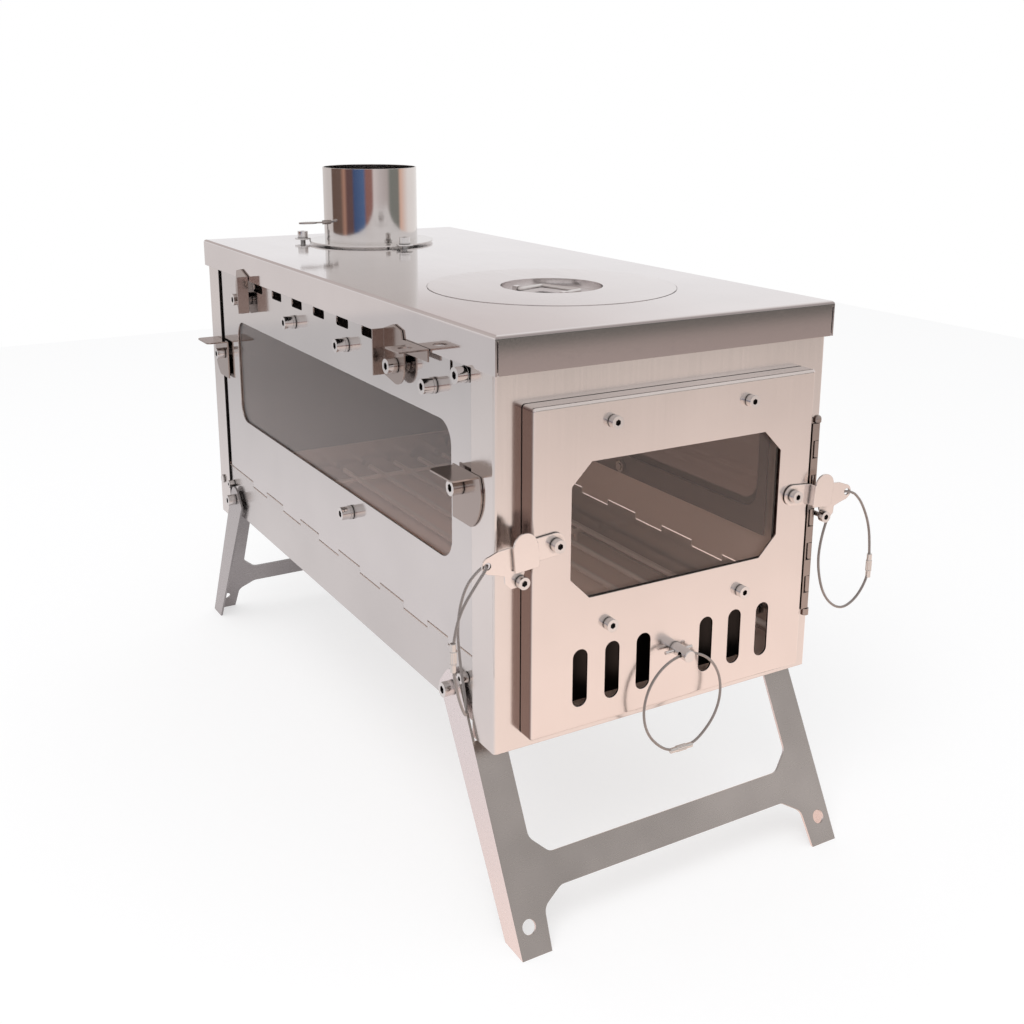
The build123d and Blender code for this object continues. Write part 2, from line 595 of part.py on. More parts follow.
# Latches: flat at the pivot, raised over the door's edge, set back where they hook the keeper
droop = radians(LATCH_DROOP)
keeper_u = (KEEPER_X - LATCH_PIVOT_X) * cos(droop) + (LATCH_PIVOT_Z - KEEPER_Z) * sin(droop)
keeper_w = (KEEPER_X - LATCH_PIVOT_X) * sin(droop) - (LATCH_PIVOT_Z - KEEPER_Z) * cos(droop)
catch_dir = (-sin(radians(30)), -cos(radians(30)))


def latch_plane(side, y):
    """The face of a latch part: x outward along the drooping bar, y up."""
    return Plane(origin=(side * LATCH_PIVOT_X, y, LATCH_PIVOT_Z),
                 x_dir=(side * cos(droop), 0, -sin(droop)), z_dir=(0, -side, 0))


for side, name in ((-1.0, "left"), (1.0, "right")):
    with BuildPart() as latch:
        with BuildSketch(latch_plane(side, LATCH_INNER_Y)):
            Circle(LATCH_HALF)
            with Locations((LATCH_FOLD[0] / 2, 0)):
                Rectangle(LATCH_FOLD[0], 2 * LATCH_HALF)
            Circle(LATCH_PIVOT_HOLE_R, mode=Mode.SUBTRACT)
        extrude(amount=-side * LATCH_SHEET)
        middle = sum(LATCH_FOLD) / 2
        with BuildSketch(latch_plane(side, LATCH_MIDDLE_Y)):
            with Locations((middle, (LATCH_TAB_TOP - LATCH_TAB_R - LATCH_HALF - 1) / 2)):
                Rectangle(LATCH_FOLD[1] - LATCH_FOLD[0], LATCH_TAB_TOP - LATCH_TAB_R + LATCH_HALF + 1)
            with Locations((middle, LATCH_TAB_TOP - LATCH_TAB_R)):
                Circle(LATCH_TAB_R)
        extrude(amount=-side * LATCH_SHEET)
        with BuildSketch(latch_plane(side, LATCH_MIDDLE_Y)):
            with Locations((LATCH_FOLD[0] - LATCH_SHEET / 2 + 0.5, 0)):
                Rectangle(LATCH_SHEET, 2 * LATCH_HALF)
        extrude(amount=-side * (LATCH_INNER_Y - LATCH_MIDDLE_Y + LATCH_SHEET))
        with BuildSketch(latch_plane(side, LATCH_MIDDLE_Y)):
            with Locations((LATCH_FOLD[1] - LATCH_SHEET / 2, 0)):
                Rectangle(LATCH_SHEET, 2 * LATCH_HALF)
        extrude(amount=-side * (LATCH_OUTER_Y - LATCH_MIDDLE_Y + LATCH_SHEET))
        with BuildSketch(latch_plane(side, LATCH_OUTER_Y)):
            with BuildLine():
                Polyline((LATCH_FOLD[1] - LATCH_SHEET, LATCH_HALF), (34, LATCH_HALF), (40.6, 4.1), (41, -4.3),
                         (36, -LATCH_HALF), (31.5, -LATCH_HALF - 2), (31.5, keeper_w + 1),
                         (28.5, keeper_w - 2.6), (keeper_u + 1, keeper_w - 2.6),
                         (keeper_u - 2.5, keeper_w + 4), (keeper_u - 2.5, -3.5),
                         (LATCH_FOLD[1] - LATCH_SHEET, -3.5), close=True)
            make_face()
            with Locations((LATCH_TIP - 4.5, 0)):
                Circle(4.5)
            with Locations((RING_HOLE_AT, 0)):
                Circle(RING_HOLE_R, mode=Mode.SUBTRACT)
            with Locations((keeper_u, keeper_w)):
                Circle(KEEPER_CATCH_R, mode=Mode.SUBTRACT)
            with Locations((keeper_u + 4 * catch_dir[0], keeper_w + 4 * catch_dir[1])):
                Rectangle(2 * KEEPER_CATCH_R, 8, rotation=-30, mode=Mode.SUBTRACT)
        extrude(amount=-side * LATCH_SHEET)
    save(latch.part, f"{name}_latch")

with BuildPart() as latch_screws:
    for side in SIDES:
        seat = LATCH_INNER_Y - SEAT_GAP
        cap_screw((side * LATCH_PIVOT_X, seat, LATCH_PIVOT_Z), (0, -1, 0), M4_HEAD_R, M4_HEAD_H,
                  M4_SHANK_R, DOOR_INSIDE + SEAT_GAP + M4_NUT_H - seat + 0.3, M4_KEY)
save(latch_screws.part, "latch_pivot_screws")

with BuildPart() as keepers:
    for side in SIDES:
        cap_screw((side * KEEPER_X, KEEPER_HEAD_Y, KEEPER_Z), (0, -1, 0), KEEPER_HEAD_R, KEEPER_HEAD_H,
                  KEEPER_NECK_R, -PAN_FACE + SHEET + 3 - KEEPER_HEAD_Y, M4_KEY)
save(keepers.part, "keeper_screws")


def bend(start, heading, end):
    """An arc from start to end that leaves along heading, or a line where it would be all but straight."""
    chord = end - start
    if chord.cross(heading).length < 0.002 * chord.length * heading.length:
        Line(start, end)
    else:
        TangentArc(start, end, tangent=heading)


def bend_pair(start, start_dir, end, end_dir):
    """Two arcs that meet smoothly halfway, from start along start_dir to end along end_dir."""
    step, both = end - start, start_dir + end_dir
    turned = 2 * (1 - start_dir.dot(end_dir))
    if turned < 0.000001:
        reach = step.dot(step) / (2 * step.dot(both))
    else:
        reach = (sqrt(step.dot(both) ** 2 + turned * step.dot(step)) - step.dot(both)) / turned
    leave, arrive = start + start_dir * reach, end - end_dir * reach
    halfway = (leave + arrive) / 2
    bend(start, start_dir, halfway)
    bend(halfway, arrive - leave, end)


def cable(points, start_dir, end_dir):
    """One unbroken run of cable through its points, with a straight tail at each end inside the ferrule."""
    tail = FERRULE_L / 2 - 0.5
    stops = [Vector(*point) for point in points]
    headings = [Vector(*start_dir)]
    for before, here, after in zip(stops, stops[1:], stops[2:]):
        back, ahead = here - before, after - here
        weight = ahead.length / back.length
        headings.append((back * weight + ahead / weight).normalized())
    headings.append(Vector(*end_dir))
    with BuildPart() as run:
        with BuildLine() as route:
            Line(stops[0] - headings[0] * tail, stops[0])
            for place, heading, next_place, next_heading in zip(stops, headings, stops[1:], headings[1:]):
                bend_pair(place, heading, next_place, next_heading)
            Line(stops[-1], stops[-1] + headings[-1] * tail)
        with BuildSketch(Plane(origin=stops[0] - headings[0] * tail, z_dir=headings[0])):
            Circle(CABLE_R)
        sweep(path=route.wire())
    length = route.wire().length
    inside = round(150 * tail / length) + 1
    spots = [route.wire() @ (k / 150) for k in range(inside, 151 - inside)]
    apart = [(a - b).length for i, a in enumerate(spots) for b in spots[i + 8:]]
    print("cable length", round(length, 1), "least gap to itself", round(min(apart) - 2 * CABLE_R, 2))
    return run.part


def ferrule(centre, direction):
    """A crimped sleeve with a thicker knurled middle."""
    half = Vector(*direction) * (FERRULE_L / 2)
    with BuildPart() as sleeve:
        rod(Vector(*centre) - half, direction, FERRULE_R - 0.3, FERRULE_L)
        rod(Vector(*centre) - half * 0.4, direction, FERRULE_R, FERRULE_L * 0.4)
        rod(Vector(*centre) - half * 1.1, direction, CABLE_R + FERRULE_BORE, FERRULE_L * 1.1, Mode.SUBTRACT)
    return sleeve.part


# Right ring: hangs nearly flat, its outer side in front of the latch, its inner side behind
hole_x = LATCH_PIVOT_X + RING_HOLE_AT * cos(droop)
hole_z = LATCH_PIVOT_Z - RING_HOLE_AT * sin(droop)
hole_y = LATCH_OUTER_Y + LATCH_SHEET / 2
front_y = LATCH_OUTER_Y - CABLE_R - 0.8
back_y = LATCH_OUTER_Y + LATCH_SHEET + CABLE_R + 0.4
ferrule_at = (hole_x + 22.3, front_y + 1.0, hole_z - 50)
half = FERRULE_L / 2
right_run = [(ferrule_at[0], ferrule_at[1], ferrule_at[2] + half)]
for dx, y, dz in ((19.6, front_y + 0.6, -24), (12.0, front_y + 0.1, -9), (6.0, front_y, -2.4),
                  (3.1, front_y + 0.15, -0.7), (1.5, hole_y - 1.3, -0.15), (0, hole_y, 0),
                  (-1.5, hole_y + 1.15, -0.25), (-3.1, back_y - 0.1, -1.1), (-6.0, back_y, -4.0),
                  (-11.0, back_y, -12), (-16.2, back_y, -28), (-17.2, back_y, -44),
                  (-11.5, back_y - 0.6, -64), (1.5, back_y - 1.4, -75), (13.5, front_y + 1.4, -70.5)):
    right_run.append((hole_x + dx, y, hole_z + dz))
right_run.append((ferrule_at[0], ferrule_at[1], ferrule_at[2] - half))
save(cable(right_run, (0, 0, 1), (0, 0, 1)), "right_ring")
save(ferrule(ferrule_at, (0, 0, 1)), "right_ring_ferrule")

# Left ring: turned edge-on, bowed outward
TURN = radians(59.3)
BOW = ((-16, 12.5, -17), (-9.5, 4.8, -5.4), (-3.2, 0.5, -0.6), (0, 0, 0), (3.2, 0.3, -0.6), (9.5, 4.4, -5.4),
       (16.5, 12, -18), (18.5, 16, -38), (16, 14.6, -58), (8.5, 11.6, -74), (0, 10.3, -79.5),
       (-8.5, 11.2, -75.5), (-15.8, 13.8, -62))
FERRULE_BOW = (-18, 16, -40)


def bowed(w, b, dz):
    """A point of the left ring: w along its plane, b out of it, dz down from the hole."""
    return (-hole_x + w * cos(TURN) - b * sin(TURN), hole_y + w * sin(TURN) + b * cos(TURN), hole_z + dz)


left_at = bowed(*FERRULE_BOW)
left_run = [bowed(FERRULE_BOW[0], FERRULE_BOW[1], FERRULE_BOW[2] + half)]
left_run += [bowed(*point) for point in BOW]
left_run.append(bowed(FERRULE_BOW[0], FERRULE_BOW[1], FERRULE_BOW[2] - half))
save(cable(left_run, (0, 0, 1), (0, 0, 1)), "left_ring")
save(ferrule(left_at, (0, 0, 1)), "left_ring_ferrule")

# Knob ring: hangs through the rod's cross hole, ferrule at the bottom
KNOB_RING_HALF = 27.0
KNOB_RING_DROP = 57.0
knob_y = DOOR_FACE - ROD_CROSS_HOLE_AT
knob_low = ROD_Z - KNOB_RING_DROP
knob_run = [(half, knob_y, knob_low)]
for angle in range(36, 325, 24):
    knob_run.append((KNOB_RING_HALF * sin(radians(angle)), knob_y,
                     knob_low + KNOB_RING_DROP * (1 - cos(radians(angle))) / 2))
knob_run.append((-half, knob_y, knob_low))
save(cable(knob_run, (1, 0, 0), (1, 0, 0)), "knob_ring")
save(ferrule((0, knob_y, knob_low), (1, 0, 0)), "knob_ring_ferrule")

# Air damper: a rod through the door with a shutter plate behind the slots
with BuildPart() as damper_rod:
    rod_end = DOOR_FACE - ROD_REACH
    rod((0, rod_end, ROD_Z), (0, 1, 0), ROD_R, SHUTTER_Y - SEAT_GAP - rod_end)
    rod((0, SHUTTER_Y - 2, ROD_Z), (0, 1, 0), M4_SHANK_R, 4.5)
    fillet(damper_rod.edges().group_by(Axis.Y)[0], 0.6)
    rod((-ROD_R - 1, knob_y, ROD_Z), (1, 0, 0), ROD_CROSS_HOLE_R, 2 * ROD_R + 2, Mode.SUBTRACT)
    rod((-ROD_R - 1, DOOR_FACE - CROSS_PIN_AT, ROD_Z), (1, 0, 0), CROSS_PIN_R + 0.02, 2 * ROD_R + 2,
        Mode.SUBTRACT)
save(damper_rod.part, "damper_rod")

with BuildPart() as cross_pin:
    rod((-CROSS_PIN_HALF, DOOR_FACE - CROSS_PIN_AT, ROD_Z), (1, 0, 0), CROSS_PIN_R, 2 * CROSS_PIN_HALF)
save(cross_pin.part, "damper_cross_pin")

with BuildPart() as shutter:
    block(-SHUTTER_HALF_WIDTH, SHUTTER_HALF_WIDTH, SHUTTER_Y, SHUTTER_Y + SHEET, *SHUTTER_Z)
    rod((0, SHUTTER_Y - 1, ROD_Z), (0, 1, 0), M4_SHANK_R + 0.05, 4, Mode.SUBTRACT)
save(shutter.part, "air_damper_plate")

# Legs: a sloped web between two side flanges, pivoting under the body
web_plane = Plane(origin=(0, LEG_FOOT_Y, 0), x_dir=(1, 0, 0), z_dir=(0, -cos(LEG_SLOPE), sin(LEG_SLOPE)))
web_top = LEG_WEB_TOP_Z / cos(LEG_SLOPE)
with BuildPart() as front_legs:
    with BuildSketch(web_plane):
        with Locations((0, web_top / 2)):
            Rectangle(2 * LEG_OUTER_X, web_top)
        inner = LEG_OUTER_X - LEG_STRIP
        with BuildLine():
            FilletPolyline((-inner, web_top + 12), (-inner, LEG_GUSSET[1]), (-LEG_GUSSET_X, LEG_BAR[1]),
                           (LEG_GUSSET_X, LEG_BAR[1]), (inner, LEG_GUSSET[1]), (inner, web_top + 12),
                           radius=LEG_WEB_R, close=True)
        make_face(mode=Mode.SUBTRACT)
        foot = LEG_OUTER_X - LEG_FOOT_WIDTH
        with BuildLine():
            FilletPolyline((-foot - 0.8, -14), (-inner, LEG_GUSSET[0]), (-LEG_GUSSET_X + 2, LEG_BAR[0]),
                           (LEG_GUSSET_X - 2, LEG_BAR[0]), (inner, LEG_GUSSET[0]), (foot + 0.8, -14),
                           radius=LEG_WEB_R, close=True)
        make_face(mode=Mode.SUBTRACT)
        for side in SIDES:
            with Locations((side * LEG_FOOT_HOLE[0], LEG_FOOT_HOLE[1])):
                Circle(LEG_FOOT_HOLE_R, mode=Mode.SUBTRACT)
    extrude(amount=-LEG_SHEET)
    for side in SIDES:
        with BuildSketch(side_plane(side, LEG_OUTER_X)):
            with BuildLine():
                Polyline(on_side(side, LEG_FOOT_Y, 0), on_side(side, LEG_FOOT_REAR_Y, 0),
                         on_side(side, *LEG_SHOULDER))
                CenterArc(on_side(side, *LEG_PIVOT), LEG_HEAD_R, 0, TAU)
            make_hull()
            with Locations(on_side(side, *LEG_PIVOT)):
                Circle(M5_SHANK_R + 0.08, mode=Mode.SUBTRACT)
        extrude(amount=-LEG_SHEET)
    block(-LEG_OUTER_X - 1, LEG_OUTER_X + 1, LEG_FOOT_Y - 10, LEG_FOOT_Y + 40, -5, 0, Mode.SUBTRACT)
save(front_legs.part, "front_legs")
with BuildPart() as rear_legs:
    add(mirror(front_legs.part, about=Plane.XZ))
save(rear_legs.part, "rear_legs")

with BuildPart() as leg_screws:
    for side in SIDES:
        for end in SIDES:
            seat = LEG_OUTER_X + SEAT_GAP
            cap_screw((side * seat, -end * LEG_PIVOT[0], LEG_PIVOT[1]), (side, 0, 0), M5_HEAD_R, M5_HEAD_H,
                      M5_SHANK_R, seat - SIDE_INNER_X + SEAT_GAP + M5_NUT_H + 0.3, M5_KEY)
save(leg_screws.part, "leg_pivot_screws")

with BuildPart() as leg_spacers:
    for side in SIDES:
        for end in SIDES:
            with BuildSketch(side_plane(side, LEG_INNER_X - SEAT_GAP)):
                with Locations(on_side(side, -end * LEG_PIVOT[0], LEG_PIVOT[1])):
                    Circle(LEG_WASHER_R)
                    Circle(M5_SHANK_R + 0.05, mode=Mode.SUBTRACT)
            extrude(amount=-(LEG_INNER_X - SIDE_X - 2 * SEAT_GAP))
save(leg_spacers.part, "leg_spacers")

with BuildPart() as stop_studs:
    for side in SIDES:
        for end in SIDES:
            cap_screw((side * (SIDE_X + SEAT_GAP), -end * STOP_STUD[0], STOP_STUD[1]), (side, 0, 0),
                      STOP_STUD_R, STOP_STUD_H, M4_SHANK_R, SHEET + 2, 2.5)
save(stop_studs.part, "leg_stop_studs")


def mid_clip(side, end):
    """The clip that holds a pan's flange to the side: plate and level wing."""
    y0 = -end * MID_CLIP_PIVOT[0]
    z0 = MID_CLIP_PIVOT[1]
    with BuildPart() as clip:
        with BuildSketch(side_plane(side, MID_CLIP_X)):
            with Locations(on_side(side, y0, z0)):
                Circle(MID_CLIP_REACH)
            with Locations(on_side(side, y0 + end * (MID_CLIP_REACH - MID_CLIP_BACK) / 2, z0 - 4.5)):
                Rectangle(MID_CLIP_REACH + MID_CLIP_BACK, 29, mode=Mode.INTERSECT)
            with Locations(on_side(side, y0, z0)):
                Circle(CLIP_HOLE_R, mode=Mode.SUBTRACT)
        extrude(amount=CLIP_SHEET)
        wing_y = y0 + end * (MID_CLIP_REACH - MID_CLIP_BACK - 1) / 2
        with BuildSketch(Plane.XY.offset(z0 + 10 - CLIP_SHEET)):
            with Locations((side * (MID_CLIP_X + MID_WING_OUT / 2), wing_y)):
                Rectangle(MID_WING_OUT, MID_WING_LENGTH)
            fillet(vertices().group_by(Axis.X)[-1 if side > 0 else 0], 3)
        extrude(amount=CLIP_SHEET)
    return clip.part


def top_clip(side, end):
    """The clip near the lid: plate and upright wing, and at the front an arm whose top is a holed tab."""
    y0, z0 = TOP_CLIP_FRONT if end < 0 else TOP_CLIP_REAR

    def at(dy, dz):
        return on_side(side, y0 - end * dy, z0 + dz)

    with BuildPart() as clip:
        with BuildSketch(side_plane(side, TOP_CLIP_X)):
            with BuildLine():
                Polyline(at(TOP_DISC_R * 0.3, -TOP_DISC_R), at(TOP_WING_AT, TOP_WING_Z[0]),
                         at(TOP_WING_AT, TOP_WING_Z[1]), at(3, 22.5), at(-7, 20.5), at(-TOP_DISC_R, 9),
                         at(-TOP_DISC_R, 0))
                ThreePointArc(at(-TOP_DISC_R, 0), at(-TOP_DISC_R * 0.7, -TOP_DISC_R * 0.75),
                              at(TOP_DISC_R * 0.3, -TOP_DISC_R))
            make_face()
            if end < 0:
                with Locations(at(-(TOP_ARM_REACH + 4) / 2, sum(TOP_ARM_Z) / 2)):
                    Rectangle(TOP_ARM_REACH - 4, TOP_ARM_Z[1] - TOP_ARM_Z[0])
            with Locations(at(0, 0)):
                Circle(CLIP_HOLE_R, mode=Mode.SUBTRACT)
        extrude(amount=CLIP_SHEET)
        wing = y0 - end * (TOP_WING_AT - 0.5)
        block(side * TOP_CLIP_X, side * (TOP_CLIP_X + TOP_WING_OUT), wing - 0.5, wing + 0.5,
              z0 + TOP_WING_Z[0], z0 + TOP_WING_Z[1])
        if end < 0:
            tab_y = y0 - TOP_ARM_REACH + TOP_TAB_LENGTH / 2
            tab_x = side * (TOP_CLIP_X + TOP_TAB_OUT / 2)
            with BuildSketch(Plane.XY.offset(z0 + TOP_ARM_Z[1] - CLIP_SHEET)):
                with Locations((tab_x, tab_y)):
                    Rectangle(TOP_TAB_OUT, TOP_TAB_LENGTH)
                with Locations((tab_x + side, tab_y)):
                    Circle(TOP_TAB_HOLE_R, mode=Mode.SUBTRACT)
            extrude(amount=CLIP_SHEET)
    return clip.part


for side, name in ((-1.0, "left"), (1.0, "right")):
    for end, place in ((-1.0, "front"), (1.0, "rear")):
        save(mid_clip(side, end), f"{name}_{place}_clip")
        save(top_clip(side, end), f"{name}_{place}_lid_clip")

with BuildPart() as clip_screws:
    for side in SIDES:
        for end in SIDES:
            mid, top = clip_spots[:2][end > 0], clip_spots[2:][end > 0]
            for pivot, plate_x, nut_x in ((mid, MID_CLIP_X, SIDE_INNER_X - SEAT_GAP), (top, TOP_CLIP_X, SIDE_NUT_X)):
                seat = plate_x + CLIP_SHEET + SEAT_GAP
                cap_screw((side * seat, *pivot), (side, 0, 0), M5_HEAD_R, M5_HEAD_H,
                          M5_SHANK_R, seat - nut_x + M5_NUT_H + 0.3, M5_KEY)
save(clip_screws.part, "clip_pivot_screws")

with BuildPart() as clip_spacers:
    for side in SIDES:
        for end in SIDES:
            mid, top = clip_spots[:2][end > 0], clip_spots[2:][end > 0]
            for pivot, plate_x in ((mid, MID_CLIP_X), (top, TOP_CLIP_X)):
                with BuildSketch(side_plane(side, plate_x - SEAT_GAP)):
                    with Locations(on_side(side, *pivot)):
                        Circle(M5_COLLAR_R)
                        Circle(M5_SHANK_R + 0.05, mode=Mode.SUBTRACT)
                extrude(amount=-(plate_x - SIDE_X - 2 * SEAT_GAP))
save(clip_spacers.part, "clip_spacers")

# Cook plate with its dish, and the bail handle in it
with BuildPart() as cook_plate:
    rod((0, PLATE_Y, PLATE_UNDER), (0, 0, 1), PLATE_R, SHEET)
    rod((0, PLATE_Y, DISH_FLOOR - SHEET), (0, 0, 1), DISH_R + SHEET, DISH_DEPTH + SHEET)
    rod((0, PLATE_Y, DISH_FLOOR), (0, 0, 1), DISH_R, DISH_DEPTH + SHEET, Mode.SUBTRACT)
save(cook_plate.part, "cook_plate")

grip = (cos(radians(BAIL_ANGLE)), sin(radians(BAIL_ANGLE)))
along = (grip[1], -grip[0])
bail_z = DISH_FLOOR + BAIL_RISE


def in_dish(g, a, z):
    """A point in the dish: g towards the grip, a along it."""
    return (g * grip[0] + a * along[0], PLATE_Y + g * grip[1] + a * along[1], z)


with BuildPart() as bail:
    with BuildLine():
        bend = FilletPolyline(
            in_dish(BAIL_PIVOT_AT, -BAIL_HALF - 5.2, bail_z), in_dish(BAIL_PIVOT_AT, -BAIL_HALF, bail_z),
            in_dish(BAIL_GRIP_AT, -BAIL_HALF, bail_z), in_dish(BAIL_GRIP_AT, BAIL_HALF, bail_z),
            in_dish(BAIL_PIVOT_AT, BAIL_HALF, bail_z), in_dish(BAIL_PIVOT_AT, BAIL_HALF + 5.2, bail_z),
            radius=1.5)
    with BuildSketch(Plane(origin=bend @ 0, z_dir=bend % 0)):
        Circle(BAIL_WIRE_R)
    sweep(path=bend)
save(bail.part, "plate_handle")

with BuildPart() as lugs:
    for end in SIDES:
        centre = in_dish(BAIL_PIVOT_AT, end * (BAIL_HALF + 3.4), DISH_FLOOR + LUG_SIZE[2] / 2)
        with Locations(Location(centre, (0, 0, BAIL_ANGLE))):
            Box(*LUG_SIZE)
        rod(in_dish(BAIL_PIVOT_AT, end * BAIL_HALF, bail_z), (end * along[0], end * along[1], 0),
            BAIL_WIRE_R + 0.06, 8, Mode.SUBTRACT)
save(lugs.part, "handle_lugs")

# Flue collar, its clamps and its damper
with BuildPart() as flue_collar:
    rod((0, FLUE_Y, LID_TOP_Z - FLUE_BELOW), (0, 0, 1), FLUE_R, FLUE_TOP_Z - LID_TOP_Z + FLUE_BELOW)
    rod((0, FLUE_Y, FLANGE_Z), (0, 0, 1), FLUE_FLANGE_R, SHEET)
    rod((0, FLUE_Y, LID_TOP_Z - FLUE_BELOW - 1), (0, 0, 1), FLUE_R - FLUE_WALL, 80, Mode.SUBTRACT)
    rod((-FLUE_R - 1, FLUE_Y, DAMPER_Z), (1, 0, 0), SPINDLE_R + SPINDLE_CLEARANCE, 2 * FLUE_R + 2,
        Mode.SUBTRACT)
    block(-FLUE_R - 1, -FLUE_R + 3, FLUE_Y - 0.7, FLUE_Y + 0.7, FLANGE_Z + 3, DAMPER_Z, Mode.SUBTRACT)
save(flue_collar.part, "flue_collar")

with BuildPart() as flue_damper:
    rod((0, FLUE_Y, DAMPER_Z - DAMPER_SHEET / 2), (0, 0, 1), FLUE_R - FLUE_WALL - DAMPER_EDGE, DAMPER_SHEET)
    rod((-FLUE_R - 4, FLUE_Y, DAMPER_Z), (1, 0, 0), SPINDLE_R, 2 * FLUE_R + 6)
save(flue_damper.part, "flue_damper")

with BuildPart() as flue_lever:
    with BuildSketch(Plane.XY.offset(DAMPER_Z - DAMPER_SHEET / 2)):
        with Locations((-FLUE_R - 4 - LEVER_LENGTH * 0.7, FLUE_Y)):
            Ellipse(LEVER_LENGTH * 0.42, LEVER_HALF)
        with Locations((-FLUE_R - 4 - LEVER_LENGTH * 0.3, FLUE_Y)):
            Rectangle(LEVER_LENGTH * 0.6, 2 * SPINDLE_R)
    extrude(amount=DAMPER_SHEET)
save(flue_lever.part, "flue_damper_lever")

flue_spots = [(FLUE_SCREW_AT * cos(radians(a)), FLUE_Y + FLUE_SCREW_AT * sin(radians(a)))
              for a in FLUE_SCREW_ANGLES]
washer_z = FLANGE_Z + SHEET + SEAT_GAP
with BuildPart() as flue_screws:
    for x, y in flue_spots:
        seat = washer_z + FLUE_WASHER_H + 0.1
        cap_screw((x, y, seat), (0, 0, 1), M4_HEAD_R + 0.5, M4_HEAD_H + 1, M4_SHANK_R,
                  seat - LID_UNDER + SEAT_GAP + M4_NUT_H + 0.3, M4_KEY)
save(flue_screws.part, "flue_screws")

with BuildPart() as flue_washers:
    for x, y in flue_spots:
        with BuildSketch(Plane.XY.offset(washer_z)):
            with Locations((x, y)):
                Circle(FLUE_WASHER_R)
                Circle(M4_SHANK_R + 0.05, mode=Mode.SUBTRACT)
        extrude(amount=FLUE_WASHER_H)
save(flue_washers.part, "flue_washers")

with BuildPart() as flue_nuts:
    for x, y in flue_spots:
        hex_nut((x, y, LID_UNDER - SEAT_GAP), (0, 0, -1), M4_NUT_R, M4_NUT_H, M4_SHANK_R + 0.05)
save(flue_nuts.part, "flue_nuts")
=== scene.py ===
import bpy
import numpy as np
from mathutils import Matrix, Vector


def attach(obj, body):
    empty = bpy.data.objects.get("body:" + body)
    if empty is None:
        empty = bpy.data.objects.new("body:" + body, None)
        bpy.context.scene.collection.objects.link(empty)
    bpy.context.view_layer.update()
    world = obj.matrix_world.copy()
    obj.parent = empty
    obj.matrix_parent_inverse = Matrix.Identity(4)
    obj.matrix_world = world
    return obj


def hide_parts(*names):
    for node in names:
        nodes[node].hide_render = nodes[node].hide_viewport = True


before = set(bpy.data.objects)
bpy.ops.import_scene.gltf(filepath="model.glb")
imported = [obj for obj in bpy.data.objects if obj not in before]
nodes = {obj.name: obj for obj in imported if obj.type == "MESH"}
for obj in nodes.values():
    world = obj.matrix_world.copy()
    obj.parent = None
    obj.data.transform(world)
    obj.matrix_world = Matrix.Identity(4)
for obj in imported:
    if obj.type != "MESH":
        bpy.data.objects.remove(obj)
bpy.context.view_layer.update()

# Camera: the photograph's viewpoint, from the front left and a little above the lid.
# Its picture centre lies above the middle of the frame, which the shifts give.
CAMERA_PLACE = Vector((-0.3930, -0.7356, 0.4349))
CAMERA_YAW = np.radians(30.7)
CAMERA_PITCH = np.radians(14.48)
CAMERA_ROLL = np.radians(0.31)
CAMERA_LENS = 43.23
CAMERA_SENSOR = 36
CAMERA_SHIFT = (-0.0084, -0.0929)
CAMERA_REACH = (0.01, 50)

ahead = Vector((np.sin(CAMERA_YAW) * np.cos(CAMERA_PITCH),
                np.cos(CAMERA_YAW) * np.cos(CAMERA_PITCH), -np.sin(CAMERA_PITCH)))
level = ahead.cross(Vector((0, 0, 1))).normalized()
upright = level.cross(ahead)
right = level * np.cos(CAMERA_ROLL) + upright * np.sin(CAMERA_ROLL)
upward = upright * np.cos(CAMERA_ROLL) - level * np.sin(CAMERA_ROLL)
camera_data = bpy.data.cameras.new("camera")
camera_data.lens = CAMERA_LENS
camera_data.sensor_width = CAMERA_SENSOR
camera_data.shift_x, camera_data.shift_y = CAMERA_SHIFT
camera_data.clip_start, camera_data.clip_end = CAMERA_REACH
camera = bpy.data.objects.new("camera", camera_data)
facing = Matrix((right, upward, -ahead)).transposed().to_4x4()
camera.matrix_world = Matrix.Translation(CAMERA_PLACE) @ facing
bpy.context.scene.collection.objects.link(camera)
bpy.context.scene.camera = camera
bpy.context.scene.view_settings.view_transform = "Standard"


# Studio: a white surround, a white floor that keeps the stove's shadow, and one large soft lamp above
# the front left. In reflections the surround has darker bands near the horizon and a duller ceiling,
# and the floor is warm in front and cool at the side, so that the bright steel has something to show.
FLOOR_HALF = 1.6
FLOOR_COLOUR = (0.42, 0.42, 0.4242)
FLOOR_GLOW = (0.60, 0.60, 0.60)
FLOOR_IN_FRONT = (0.58, 0.43, 0.36)
FLOOR_AT_SIDE = (0.38, 0.345, 0.345)
SIDEWAYS = (-0.70, 0.71, 0)
SIDE_STARTS = (-0.25, 0.15)
GLOW_REACH = (0.45, 1.25)
GLOW_FALLS = (1.30, 0.72)
SURROUND_LIGHT = 0.78
BANDS = ((0.000, (0.50, 0.28, 0.21)), (0.022, (0.16, 0.09, 0.09)), (0.060, (0.15, 0.09, 0.09)),
         (0.075, (0.07, 0.11, 0.24)), (0.140, (0.10, 0.17, 0.34)), (0.158, (0.33, 0.16, 0.14)),
         (0.195, (0.34, 0.17, 0.15)), (0.210, (0.80, 0.72, 0.72)), (0.250, (0.66, 0.60, 0.60)),
         (0.300, (0.55, 0.49, 0.48)), (0.325, (0.25, 0.26, 0.24)), (0.385, (0.26, 0.26, 0.24)),
         (0.405, (0.86, 0.57, 0.46)), (0.450, (0.92, 0.80, 0.76)), (0.480, (1.0, 0.95, 0.94)),
         (0.660, (1.0, 0.98, 0.97)), (0.700, (0.78, 0.74, 0.73)), (0.880, (0.76, 0.71, 0.70)),
         (0.892, (0.17, 0.11, 0.09)), (0.970, (0.18, 0.12, 0.10)), (1.000, (0.50, 0.28, 0.21)))
BANDS_END = (-0.02, 0.10)
ABOVE_BANDS = (0.93, 0.92, 0.93)
